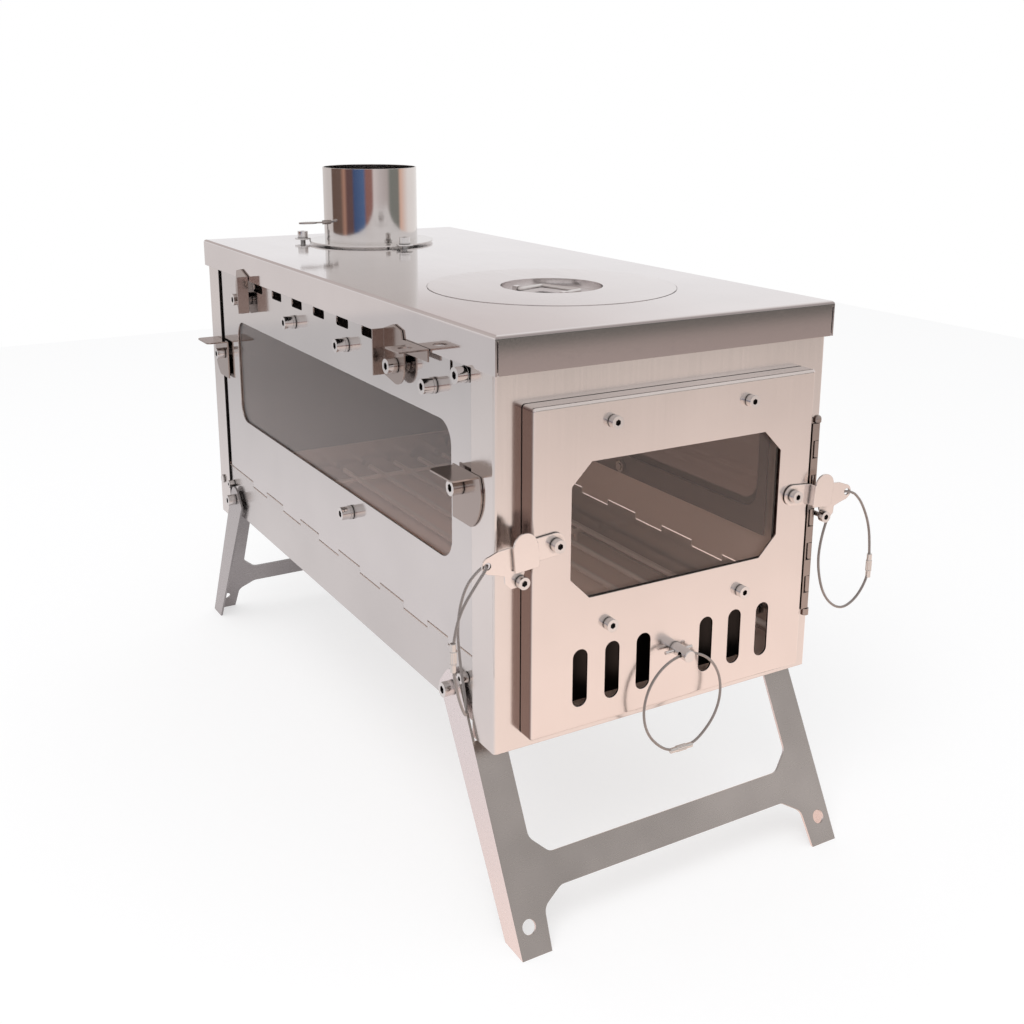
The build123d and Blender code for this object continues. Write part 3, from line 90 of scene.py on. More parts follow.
CEILING = ((0.000, (0.70, 0.65, 0.64)), (0.450, (0.80, 0.76, 0.75)), (0.600, (0.96, 0.94, 0.94)),
           (0.640, (0.90, 0.87, 0.87)), (0.662, (0.72, 0.66, 0.65)), (0.700, (0.55, 0.48, 0.47)),
           (0.800, (0.62, 0.56, 0.54)), (1.000, (0.70, 0.65, 0.64)))
CEILING_STARTS = (0.13, 0.17)
LAMP_PLACE = Vector((-1.3, -1.2, 2.3))
LAMP_AIM = Vector((0, 0, 0.2))
LAMP_SIZE = 1.6
LAMP_POWER = 26.0


def add_node(tree, kind, place=(0, 0), **settings):
    """A shader node of that kind, with the settings given by name, and its input values by socket name."""
    node = tree.nodes.new(kind)
    node.location = place
    for name, value in settings.items():
        if name == "inputs":
            for socket, number in value.items():
                node.inputs[socket].default_value = number
        else:
            setattr(node, name, value)
    return node


def join(tree, source, target):
    """A link from an output socket to an input socket."""
    tree.links.new(source, target)


def stretched(tree, value, span, onto=(0.0, 1.0), place=(0, 0), curve="LINEAR"):
    """The value carried from the span onto another, and held at its ends."""
    node = add_node(tree, "ShaderNodeMapRange", place, interpolation_type=curve,
                    inputs={"From Min": span[0], "From Max": span[1], "To Min": onto[0], "To Max": onto[1]})
    join(tree, value, node.inputs["Value"])
    return node.outputs[0]


def blended(tree, share, first, second, place=(0, 0)):
    """Two colours mixed by the share of the second; each is an output socket or three plain numbers."""
    node = add_node(tree, "ShaderNodeMix", place, data_type="RGBA")
    join(tree, share, node.inputs["Factor"])
    for slot, colour in ((6, first), (7, second)):
        if isinstance(colour, tuple):
            node.inputs[slot].default_value = (*colour, 1)
        else:
            join(tree, colour, node.inputs[slot])
    return node.outputs[2]


def round_room(tree, share, colours, place):
    """Colours round the room, each at its share of a full turn, with even steps from one to the next."""
    node = add_node(tree, "ShaderNodeValToRGB", place)
    ramp = node.color_ramp
    for element, (spot, colour) in zip(ramp.elements, (colours[0], colours[-1])):
        element.position, element.color = spot, (*colour, 1)
    for spot, colour in colours[1:-1]:
        ramp.elements.new(spot).color = (*colour, 1)
    join(tree, share, node.inputs[0])
    return node.outputs[0]


def seen_as_background(tree):
    """1 on camera, glossy and transmission rays, 0 on the diffuse and shadow rays that carry light."""
    path = add_node(tree, "ShaderNodeLightPath", (-900, 300))
    first = add_node(tree, "ShaderNodeMath", (-700, 300), operation="MAXIMUM")
    join(tree, path.outputs["Is Camera Ray"], first.inputs[0])
    join(tree, path.outputs["Is Glossy Ray"], first.inputs[1])
    second = add_node(tree, "ShaderNodeMath", (-500, 300), operation="MAXIMUM")
    join(tree, first.outputs[0], second.inputs[0])
    join(tree, path.outputs["Is Transmission Ray"], second.inputs[1])
    return path, second.outputs[0]


world = bpy.data.worlds.new("studio_surround")
bpy.context.scene.world = world
world.use_nodes = True
tree = world.node_tree
tree.nodes.clear()
path, background_ray = seen_as_background(tree)
direction = add_node(tree, "ShaderNodeTexCoord", (-1300, 0))
turn = add_node(tree, "ShaderNodeSeparateXYZ", (-1100, 0))
join(tree, direction.outputs["Generated"], turn.inputs[0])
bearing = add_node(tree, "ShaderNodeMath", (-900, 0), operation="ARCTAN2")
join(tree, turn.outputs["Y"], bearing.inputs[0])
join(tree, turn.outputs["X"], bearing.inputs[1])
full_turn = stretched(tree, bearing.outputs[0], (-np.pi, np.pi), place=(-700, 0))
bands = round_room(tree, full_turn, BANDS, (-500, 0))
ceiling = round_room(tree, full_turn, CEILING, (-500, -600))
over_bands = stretched(tree, turn.outputs["Z"], BANDS_END, place=(-700, -300), curve="SMOOTHSTEP")
in_ceiling = stretched(tree, turn.outputs["Z"], CEILING_STARTS, place=(-700, -600), curve="SMOOTHSTEP")
upper_room = blended(tree, in_ceiling, ABOVE_BANDS, ceiling, (-350, -300))
mirrored_room = blended(tree, over_bands, bands, upper_room, (-250, 0))
plain = add_node(tree, "ShaderNodeBackground", (0, 200), inputs={"Color": (1, 1, 1, 1)})
join(tree, stretched(tree, background_ray, (0.0, 1.0), (SURROUND_LIGHT, 1.0), (-250, 300)),
     plain.inputs["Strength"])
shown = add_node(tree, "ShaderNodeBackground", (0, 0), inputs={"Strength": 1.0})
join(tree, mirrored_room, shown.inputs["Color"])
chosen = add_node(tree, "ShaderNodeMixShader", (250, 100))
join(tree, path.outputs["Is Glossy Ray"], chosen.inputs[0])
join(tree, plain.outputs[0], chosen.inputs[1])
join(tree, shown.outputs[0], chosen.inputs[2])
output = add_node(tree, "ShaderNodeOutputWorld", (450, 100))
join(tree, chosen.outputs[0], output.inputs["Surface"])

floor_mesh = bpy.data.meshes.new("floor")
floor_mesh.from_pydata([(-FLOOR_HALF, -FLOOR_HALF, 0), (FLOOR_HALF, -FLOOR_HALF, 0),
                        (FLOOR_HALF, FLOOR_HALF, 0), (-FLOOR_HALF, FLOOR_HALF, 0)], [], [(0, 1, 2, 3)])
floor = bpy.data.objects.new("floor", floor_mesh)
bpy.context.scene.collection.objects.link(floor)
floor_paper = bpy.data.materials.new("floor_paper")
floor_paper.use_nodes = True
tree = floor_paper.node_tree
tree.nodes.clear()
path, background_ray = seen_as_background(tree)
matt = add_node(tree, "ShaderNodeBsdfDiffuse", (-300, 0), inputs={"Color": (*FLOOR_COLOUR, 1)})
spot = add_node(tree, "ShaderNodeNewGeometry", (-1300, -200))
across_floor = add_node(tree, "ShaderNodeVectorMath", (-1100, -200), operation="DOT_PRODUCT",
                        inputs={1: SIDEWAYS})
join(tree, spot.outputs["Position"], across_floor.inputs[0])
at_side = stretched(tree, across_floor.outputs["Value"], SIDE_STARTS, place=(-900, -200), curve="SMOOTHSTEP")
mirrored = blended(tree, at_side, FLOOR_IN_FRONT, FLOOR_AT_SIDE, (-700, -200))
away = add_node(tree, "ShaderNodeVectorMath", (-1100, -400), operation="LENGTH")
join(tree, spot.outputs["Position"], away.inputs[0])
faded = add_node(tree, "ShaderNodeVectorMath", (-600, -300), operation="SCALE")
join(tree, mirrored, faded.inputs[0])
join(tree, stretched(tree, away.outputs["Value"], GLOW_REACH, GLOW_FALLS, (-900, -400)), faded.inputs["Scale"])
glow = add_node(tree, "ShaderNodeEmission", (-300, 200))
join(tree, blended(tree, path.outputs["Is Glossy Ray"], FLOOR_GLOW, faded.outputs[0], (-500, -100)),
     glow.inputs["Color"])
join(tree, background_ray, glow.inputs["Strength"])
both = add_node(tree, "ShaderNodeAddShader", (-100, 100))
join(tree, matt.outputs[0], both.inputs[0])
join(tree, glow.outputs[0], both.inputs[1])
output = add_node(tree, "ShaderNodeOutputMaterial", (100, 100))
join(tree, both.outputs[0], output.inputs["Surface"])
floor_mesh.materials.append(floor_paper)

lamp_data = bpy.data.lights.new("soft_lamp", "AREA")
lamp_data.size = LAMP_SIZE
lamp_data.energy = LAMP_POWER
lamp = bpy.data.objects.new("soft_lamp", lamp_data)
lamp.location = LAMP_PLACE
lamp.rotation_mode = "QUATERNION"
lamp.rotation_quaternion = (LAMP_AIM - LAMP_PLACE).to_track_quat("-Z", "Y")
lamp.visible_glossy = False
bpy.context.scene.collection.objects.link(lamp)


# Lid: one sheet of rolled stainless steel with its skirt folded down on four sides.
# The rolling grain runs along the stove; handling has left faint cloudy marks on it, and its underside
# is black with soot.
LID_COLOUR = (0.74, 0.705, 0.70)
LID_ROUGH = 0.085
LID_GRAIN = (900.0, 9.0, 900.0)
# Painted shade: the skirts that face front and back take this darker colour in place of the dim room they
# reflect.
SKIRT_PAINTED_SHADE = (0.40, 0.36, 0.355)
SOOT_TONE = (0.012, 0.010, 0.009)
SOOT_HEIGHT = (0.24, 0.29)
SOOT_ROUGH = 0.45
SOOT_METAL = 0.2
NOISE_SPAN = (0.3, 0.7)
SCUFF_SPAN = (0.56, 0.74)
SCUFF_ROUGH = 0.02
LIGHTER_SHARE = 0.6
GRAIN_DEPTH = 0.000003
GRAIN_BUMP = 0.3
LOOKS_THAT_WAY = (0.4, 0.6)
LIES_ALONG = (0.6, 0.9)
RECESS_SPAN = (0.35, 0.8)
RECESS_SHADE = (0.03, 1.0)

rolled = bpy.data.node_groups.new("rolled_grain", "ShaderNodeTree")
for name, kind in (("Vector", "NodeSocketVector"), ("Stretch", "NodeSocketVector")):
    rolled.interface.new_socket(name, in_out="INPUT", socket_type=kind)
for name in ("Streak", "Cloud", "Scuff"):
    rolled.interface.new_socket(name, in_out="OUTPUT", socket_type="NodeSocketFloat")
entry = add_node(rolled, "NodeGroupInput", (-800, 0))
leave = add_node(rolled, "NodeGroupOutput", (400, 0))
pulled = add_node(rolled, "ShaderNodeVectorMath", (-600, 0), operation="MULTIPLY")
join(rolled, entry.outputs["Vector"], pulled.inputs[0])
join(rolled, entry.outputs["Stretch"], pulled.inputs[1])
streaks = add_node(rolled, "ShaderNodeTexNoise", (-400, 100),
                   inputs={"Scale": 1.0, "Detail": 4.0, "Roughness": 0.62})
join(rolled, pulled.outputs[0], streaks.inputs["Vector"])
clouds = add_node(rolled, "ShaderNodeTexNoise", (-400, -150),
                  inputs={"Scale": 11.0, "Detail": 3.0, "Roughness": 0.55})
join(rolled, entry.outputs["Vector"], clouds.inputs["Vector"])
scuffs = add_node(rolled, "ShaderNodeTexNoise", (-400, -400),
                  inputs={"Scale": 140.0, "Detail": 5.0, "Roughness": 0.7})
join(rolled, entry.outputs["Vector"], scuffs.inputs["Vector"])
join(rolled, streaks.outputs["Fac"], leave.inputs["Streak"])
join(rolled, clouds.outputs["Fac"], leave.inputs["Cloud"])
join(rolled, stretched(rolled, scuffs.outputs["Fac"], SCUFF_SPAN, place=(-150, -400)), leave.inputs["Scuff"])


def steel(name, colour, rough, grain, spread=0.06, tint=0.05, edge=0.0004, inner=None, turned=None,
          cavity=0.0, metal=1.0):
    """Bright steel: metal of that colour, with roughness and colour that follow its rolling grain and
    cloudy marks, a fine bump from the grain, and edges rounded by the bevel's radius. Faces that look
    the way of inner take the tones of the fire side, low and high; those along the axis of turned take
    its colour, a painted shade or highlight; with a cavity size, its recesses take a painted shade."""
    material = bpy.data.materials.new(name)
    material.use_nodes = True
    tree = material.node_tree
    tree.nodes.clear()
    coordinates = add_node(tree, "ShaderNodeTexCoord", (-1200, 0))
    rolling = add_node(tree, "ShaderNodeGroup", (-1000, 0), node_tree=rolled)
    rolling.inputs["Stretch"].default_value = grain
    join(tree, coordinates.outputs["Object"], rolling.inputs["Vector"])
    cloudy = stretched(tree, rolling.outputs["Cloud"], NOISE_SPAN, place=(-750, 250))
    shown = blended(tree, cloudy, tuple(c * (1 - tint) for c in colour),
                    tuple(min(1.0, c * (1 + tint * LIGHTER_SHARE)) for c in colour), (-500, 250))
    streak = stretched(tree, rolling.outputs["Streak"], NOISE_SPAN, (rough - spread / 2, rough + spread / 2),
                       (-750, 0))
    marks = add_node(tree, "ShaderNodeMath", (-500, 0), operation="MULTIPLY_ADD", inputs={1: SCUFF_ROUGH})
    join(tree, rolling.outputs["Scuff"], marks.inputs[0])
    join(tree, streak, marks.inputs[2])
    worn = marks.outputs[0]
    rounded = add_node(tree, "ShaderNodeBevel", (-750, -300), samples=4, inputs={"Radius": edge})
    bump = add_node(tree, "ShaderNodeBump", (-500, -250),
                    inputs={"Strength": GRAIN_BUMP, "Distance": GRAIN_DEPTH})
    join(tree, rolling.outputs["Streak"], bump.inputs["Height"])
    join(tree, rounded.outputs[0], bump.inputs["Normal"])
    surface = add_node(tree, "ShaderNodeBsdfPrincipled", (-250, 100), inputs={"Metallic": metal})
    if inner:
        toward, low_tone, high_tone = inner
        facing = add_node(tree, "ShaderNodeVectorMath", (-1000, 500), operation="DOT_PRODUCT",
                          inputs={1: toward})
        join(tree, coordinates.outputs["Normal"], facing.inputs[0])
        fire_side = stretched(tree, facing.outputs["Value"], LOOKS_THAT_WAY, place=(-750, 500))
        height = add_node(tree, "ShaderNodeSeparateXYZ", (-1000, 700))
        join(tree, coordinates.outputs["Object"], height.inputs[0])
        sooty = stretched(tree, height.outputs["Z"], SOOT_HEIGHT, place=(-750, 700), curve="SMOOTHSTEP")
        soot = blended(tree, sooty, low_tone, high_tone, (-500, 700))
        shown = blended(tree, fire_side, shown, soot, (-250, 500))
        dull = add_node(tree, "ShaderNodeMix", (-250, 300), data_type="FLOAT")
        join(tree, fire_side, dull.inputs["Factor"])
        join(tree, worn, dull.inputs[2])
        dull.inputs[3].default_value = SOOT_ROUGH
        worn = dull.outputs[0]
        join(tree, stretched(tree, fire_side, (0.0, 1.0), (metal, SOOT_METAL), (-500, 500)),
             surface.inputs["Metallic"])
    # Faces along the axis of turned take a painted shade or highlight in place of how they are lit.
    if turned:
        axis, painted_side_tone = turned
        along = add_node(tree, "ShaderNodeVectorMath", (-1000, 900), operation="DOT_PRODUCT",
                         inputs={1: axis})
        join(tree, coordinates.outputs["Normal"], along.inputs[0])
        either = add_node(tree, "ShaderNodeMath", (-850, 900), operation="ABSOLUTE")
        join(tree, along.outputs["Value"], either.inputs[0])
        painted_side_share = stretched(tree, either.outputs[0], LIES_ALONG, place=(-700, 900))
        shown = blended(tree, painted_side_share, shown, painted_side_tone, (-250, 900))
    # Recesses darken by ambient occlusion: a painted shade.
    if cavity:
        recess = add_node(tree, "ShaderNodeAmbientOcclusion", (-250, 700), samples=6,
                          inputs={"Distance": cavity})
        shaded = add_node(tree, "ShaderNodeVectorMath", (0, 500), operation="SCALE")
        join(tree, shown, shaded.inputs[0])
        join(tree, stretched(tree, recess.outputs["AO"], RECESS_SPAN, RECESS_SHADE, (-100, 600)),
             shaded.inputs["Scale"])
        shown = shaded.outputs[0]
    join(tree, shown, surface.inputs["Base Color"])
    join(tree, worn, surface.inputs["Roughness"])
    join(tree, bump.outputs[0], surface.inputs["Normal"])
    output = add_node(tree, "ShaderNodeOutputMaterial", (50, 100))
    join(tree, surface.outputs[0], output.inputs["Surface"])
    return material


def finish_in(material, *names):
    """Those nodes of the stove take the material on every slot."""
    for name in names:
        for slot in nodes[name].material_slots:
            slot.material = material


# The lid's skirts facing front and back take the painted shade.
finish_in(steel("lid_sheet", LID_COLOUR, LID_ROUGH, LID_GRAIN, spread=0.03,
                inner=((0, 0, -1), SOOT_TONE, SOOT_TONE), turned=((0, 1, 0), SKIRT_PAINTED_SHADE)), "lid")

# Cooking plate: a loose round sheet that sits in the lid, pressed down into a dish in its middle.
# It is the same steel as the lid, polished less finely; the lugs of its bail are cut from it too.
PLATE_COLOUR = (0.76, 0.73, 0.725)
PLATE_ROUGH = 0.14
PLATE_GRAIN = (700.0, 30.0, 700.0)
finish_in(steel("plate_sheet", PLATE_COLOUR, PLATE_ROUGH, PLATE_GRAIN), "cook_plate", "handle_lugs")

# Front pan, back pan and ash tray: folded sheets, screwed and clipped together. The pans' grain runs
# upward. Inside, the fire has browned the front and the tray, and soot covers the top and the back.
PAN_COLOUR = (0.74, 0.70, 0.68)
PAN_ROUGH = 0.17
PAN_GRAIN = (900.0, 900.0, 9.0)
BROWN_TONE = (0.86, 0.70, 0.63)
TRAY_COLOUR = (0.62, 0.60, 0.59)
TRAY_ROUGH = 0.20
finish_in(steel("pan_sheet", PAN_COLOUR, PAN_ROUGH, PAN_GRAIN, inner=((0, 1, 0), BROWN_TONE, SOOT_TONE)),
          "front_panel")
finish_in(steel("back_sheet", PAN_COLOUR, PAN_ROUGH, PAN_GRAIN, inner=((0, -1, 0), SOOT_TONE, SOOT_TONE)),
          "back_panel")
finish_in(steel("tray_sheet", TRAY_COLOUR, TRAY_ROUGH, LID_GRAIN, inner=((0, 0, 1), BROWN_TONE, BROWN_TONE)),
          "base_tray")

# Side panels and the frames inside them: mirror-bright sheets with laser-cut windows and slots, which
# show blurred pictures of the screws and clips on them. The frames clamp the glass and are heat-stained.
SIDE_COLOUR = (0.66, 0.64, 0.635)
SIDE_ROUGH = 0.12
FRAME_COLOUR = (0.20, 0.155, 0.14)
FRAME_ROUGH = 0.4
for side, toward in (("left", 1), ("right", -1)):
    finish_in(steel(f"{side}_sheet", SIDE_COLOUR, SIDE_ROUGH, LID_GRAIN, spread=0.04,
                    inner=((toward, 0, 0), BROWN_TONE, SOOT_TONE)), f"{side}_side_panel")
finish_in(steel("frame_sheet", FRAME_COLOUR, FRAME_ROUGH, LID_GRAIN, metal=0.4),
          "left_glass_frame", "right_glass_frame")

# Windows: plates of heat-proof glass in the door and in both sides, faintly brown from smoke.
# The right one is tinted almost black, so that little shows through it from inside.
DOOR_GLASS_COLOUR = (0.88, 0.79, 0.75)
SIDE_GLASS_COLOUR = (0.80, 0.65, 0.59)
FAR_GLASS_COLOUR = (0.085, 0.062, 0.055)
CARRIED_LIGHT = (1.0, 0.95, 0.92)
GLASS_BEND = 1.45
DUST_SPAN = (0.45, 0.8)
DUST_ROUGH = (0.0, 0.05)


def glass(name, colour):
    """Tinted glass with a trace of dust in its roughness. Shadow and diffuse rays pass straight through,
    so that it lets daylight into the fire box."""
    material = bpy.data.materials.new(name)
    material.use_nodes = True
    tree = material.node_tree
    tree.nodes.clear()
    coordinates = add_node(tree, "ShaderNodeTexCoord", (-900, 0))
    dust = add_node(tree, "ShaderNodeTexNoise", (-700, 0), inputs={"Scale": 60.0, "Detail": 6.0})
    join(tree, coordinates.outputs["Object"], dust.inputs["Vector"])
    surface = add_node(tree, "ShaderNodeBsdfPrincipled", (-250, 100),
                       inputs={"Transmission Weight": 1.0, "IOR": GLASS_BEND, "Base Color": (*colour, 1)})
    join(tree, stretched(tree, dust.outputs["Fac"], DUST_SPAN, DUST_ROUGH, (-500, 0)),
         surface.inputs["Roughness"])
    path = add_node(tree, "ShaderNodeLightPath", (-500, 500))
    carried = add_node(tree, "ShaderNodeMath", (-250, 400), operation="MAXIMUM")
    join(tree, path.outputs["Is Shadow Ray"], carried.inputs[0])
    join(tree, path.outputs["Is Diffuse Ray"], carried.inputs[1])
    clear = add_node(tree, "ShaderNodeBsdfTransparent", (-250, -200), inputs={"Color": (*CARRIED_LIGHT, 1)})
    either = add_node(tree, "ShaderNodeMixShader", (50, 100))
    join(tree, carried.outputs[0], either.inputs[0])
    join(tree, surface.outputs[0], either.inputs[1])
    join(tree, clear.outputs[0], either.inputs[2])
    output = add_node(tree, "ShaderNodeOutputMaterial", (250, 100))
    join(tree, either.outputs[0], output.inputs["Surface"])
    return material


finish_in(glass("door_pane", DOOR_GLASS_COLOUR), "door_glass")
finish_in(glass("near_pane", SIDE_GLASS_COLOUR), "left_window_glass")
finish_in(glass("far_pane", FAR_GLASS_COLOUR), "right_window_glass")

# Fire grate: round rods welded across three bars.
# Heat has left them dull and pale, with little of the shine of metal.
GRATE_COLOUR = (0.86, 0.78, 0.74)
GRATE_ROUGH = 0.34
GRATE_GRAIN = (300.0, 300.0, 300.0)
finish_in(steel("grate_rod", GRATE_COLOUR, GRATE_ROUGH, GRATE_GRAIN, metal=0.3), "fire_grate")

# Door: a shallow folded tray with air slots, its glass held from inside by a sheet retainer and its
# slots closed by the damper's plate. The two sheets behind it are black with soot, as its inside is.
DOOR_COLOUR = (0.77, 0.715, 0.69)
DOOR_ROUGH = 0.19
# Painted shade: the door's left and right returns take this dark colour in place of the dim reflection they
# show.
DOOR_RETURN_PAINTED_SHADE = (0.24, 0.17, 0.15)
BACKING_COLOUR = (0.05, 0.042, 0.038)
# The door's side returns take the painted shade.
finish_in(steel("door_sheet", DOOR_COLOUR, DOOR_ROUGH, PAN_GRAIN, inner=((0, 1, 0), SOOT_TONE, SOOT_TONE),
                turned=((1, 0, 0), DOOR_RETURN_PAINTED_SHADE)), "door_shell")
finish_in(steel("retainer_sheet", BACKING_COLOUR, SOOT_ROUGH, PAN_GRAIN), "glass_retainer", "air_damper_plate")

# Hinge: two leaves rolled round a headed pin and riveted flat to the door and the pan.
# Its knuckles are darker than the sheets, with deep shade between them.
HINGE_COLOUR = (0.36, 0.31, 0.285)
HINGE_ROUGH = 0.22
HINGE_GRAIN = (700.0, 700.0, 30.0)
finish_in(steel("hinge_sheet", HINGE_COLOUR, HINGE_ROUGH, HINGE_GRAIN, cavity=0.002),
          "hinge_door_leaf", "hinge_body_leaf", "hinge_pin")

# Latches and clips: small folded sheets, tumbled after cutting, so their grain is short and mixed.
# Each turns on its own cap screw. The latches are pale and the clips darker.
LATCH_COLOUR = (0.84, 0.78, 0.75)
LATCH_ROUGH = 0.20
CLIP_COLOUR = (0.40, 0.345, 0.32)
CLIP_ROUGH = 0.17
CLIP_GRAIN = (420.0, 420.0, 420.0)
# The latches' recesses take a painted shade.
finish_in(steel("latch_sheet", LATCH_COLOUR, LATCH_ROUGH, CLIP_GRAIN, cavity=0.003), "left_latch", "right_latch")
clip_sheet = steel("clip_sheet", CLIP_COLOUR, CLIP_ROUGH, CLIP_GRAIN)
for end in ("front", "rear"):
    for kind in ("clip", "lid_clip"):
        finish_in(clip_sheet, f"left_{end}_{kind}", f"right_{end}_{kind}")

# Screws, nuts, spacers, studs, the damper's rod and the bail: stainless pieces turned or drawn bright.
# Their sockets and the steps under their heads lie in shade.
TURNED_COLOUR = (0.72, 0.70, 0.69)
TURNED_ROUGH = 0.13
TURNED_GRAIN = (1200.0, 1200.0, 1200.0)
turned_steel = steel("turned_steel", TURNED_COLOUR, TURNED_ROUGH, TURNED_GRAIN, edge=0.0003, cavity=0.003)
finish_in(turned_steel, "side_screws", "side_nuts", "door_screws", "door_nuts", "latch_pivot_screws",
          "keeper_screws", "leg_pivot_screws", "leg_spacers", "leg_stop_studs", "clip_pivot_screws",
          "clip_spacers", "flue_screws", "flue_washers", "flue_nuts", "damper_rod", "damper_cross_pin",
          "plate_handle")

# Legs: folded and laser-cut frames in thicker sheet with a satin, slightly mottled face. Their flanks are
# painted paler, a painted highlight, and the rear pair is painted a little darker, a painted shade.
LEG_COLOUR = (0.42, 0.395, 0.375)
LEG_FLANK_HIGHLIGHT = (0.80, 0.74, 0.74)
REAR_LEG_SHADED_COLOUR = (0.31, 0.30, 0.30)
REAR_LEG_FLANK_HIGHLIGHT = (0.44, 0.42, 0.42)
LEG_ROUGH = 0.26
LEG_GRAIN = (60.0, 500.0, 500.0)
LEG_MOTTLE = 0.22
finish_in(steel("leg_sheet", LEG_COLOUR, LEG_ROUGH, LEG_GRAIN, tint=LEG_MOTTLE,
                turned=((1, 0, 0), LEG_FLANK_HIGHLIGHT)), "front_legs")
# The rear pair takes a darker colour, a painted shade for the shaded side under the stove.
finish_in(steel("rear_leg_shaded_sheet", REAR_LEG_SHADED_COLOUR, LEG_ROUGH, LEG_GRAIN, tint=LEG_MOTTLE,
                turned=((1, 0, 0), REAR_LEG_FLANK_HIGHLIGHT)), "rear_legs")

# Flue: a polished thin tube with a rolled flange, screwed to the lid.
# Its valve is a duller blade on a spindle, with a lever outside.
FLUE_COLOUR = (0.66, 0.63, 0.61)
FLUE_ROUGH = 0.09
FLUE_GRAIN = (40.0, 40.0, 900.0)
VALVE_COLOUR = (0.45, 0.42, 0.40)
VALVE_ROUGH = 0.30
finish_in(steel("flue_tube", FLUE_COLOUR, FLUE_ROUGH, FLUE_GRAIN, spread=0.04), "flue_collar")
finish_in(steel("valve_sheet", VALVE_COLOUR, VALVE_ROUGH, CLIP_GRAIN), "flue_damper", "flue_damper_lever")

# Pull rings: wire rope of six strands laid round a seventh, its ends crimped in a fluted sleeve.
# Each route passes the same points as the solid ring's, read through a smooth spline. Sizes are in
# millimetres.
MM = 0.001
ROPE_COLOUR = (0.40, 0.38, 0.37)
ROPE_ROUGH = 0.30
ROPE_GRAIN = (500.0, 500.0, 500.0)
ROPE_EDGE = 0.0001
ROPE_RADIUS = 0.8
ROPE_END = 0.5
STRANDS = 6
STRAND_RADIUS = 0.27
STRAND_SIDES = 6
LAY_LENGTH = 9.0
STEP_ALONG = 0.7
SPLINE_STEPS = 16
SLEEVE_COLOUR = (0.66, 0.64, 0.62)
SLEEVE_ROUGH = 0.20
SLEEVE_GRAIN = (900.0, 900.0, 900.0)
SLEEVE_HALF = 7.5
SLEEVE_PROFILE = np.array(((-7.5, 0.9), (-7.5, 1.35), (-7.2, 1.5), (-3.6, 1.5), (-3.2, 1.78), (-2.6, 1.8),
                           (2.6, 1.8), (3.2, 1.78), (3.6, 1.5), (7.2, 1.5), (7.5, 1.35), (7.5, 0.9)))
SLEEVE_SIDES = 48
FLUTES = 12
FLUTE_DEPTH = 0.22
FLUTED_HALF = 3


def rope_line(name, points):
    """The points that a rope's axis passes, evenly spaced: its route's order-3 spline, measured along
    its length."""
    data = bpy.data.curves.new(name, "CURVE")
    data.dimensions = "3D"
    spline = data.splines.new("NURBS")
    spline.points.add(len(points) - 1)
    spline.points.foreach_set("co", np.c_[np.array(points), np.ones(len(points))].ravel())
    spline.order_u = 3
    spline.use_endpoint_u = True
    spline.resolution_u = SPLINE_STEPS
    carrier = bpy.data.objects.new(name, data)
    mesh = bpy.data.meshes.new_from_object(carrier)
    found = np.zeros(len(mesh.vertices) * 3)
    mesh.vertices.foreach_get("co", found)
    found = found.reshape(-1, 3)
    bpy.data.objects.remove(carrier)
    bpy.data.meshes.remove(mesh)
    bpy.data.curves.remove(data)
    run = np.r_[0, np.cumsum(np.linalg.norm(np.diff(found, axis=0), axis=1))]
    even = np.linspace(0, run[-1], int(run[-1] / STEP_ALONG) + 1)
    return np.stack([np.interp(even, run, found[:, k]) for k in range(3)], axis=1), even


def tube_mesh(centres, across, over, radii, sides):
    """A closed tube: circles of the given radii round each centre, in the plane of across and over,
    joined ring to ring and capped at both ends."""
    angle = np.linspace(0, 2 * np.pi, sides, endpoint=False)[None, :, None]
    ring = np.cos(angle) * across[:, None, :] + np.sin(angle) * over[:, None, :]
    points = (centres[:, None, :] + radii[..., None] * ring).reshape(-1, 3)
    count = len(centres)
    row, side = np.meshgrid(np.arange(count - 1), np.arange(sides), indexing="ij")
    here, after = row * sides + side, row * sides + (side + 1) % sides
    quads = np.stack([here, after, after + sides, here + sides], axis=-1).reshape(-1, 4)
    return points, quads, [tuple(range(sides))[::-1], tuple(range((count - 1) * sides, count * sides))]


def make_piece(name, parts, material, smooth=True):
    """One mesh object, in metres, from several (points, quads, caps) sets in millimetres."""
    points, faces, base = [], [], 0
    for found, quads, caps in parts:
        points.append(found)
        faces += (quads + base).tolist() + [[base + k for k in cap] for cap in caps]
        base += len(found)
    mesh = bpy.data.meshes.new(name)
    mesh.from_pydata((np.concatenate(points) * MM).tolist(), [], faces)
    mesh.polygons.foreach_set("use_smooth", np.full(len(mesh.polygons), smooth))
    mesh.materials.append(material)
    piece = bpy.data.objects.new(name, mesh)
    bpy.context.scene.collection.objects.link(piece)
    return piece


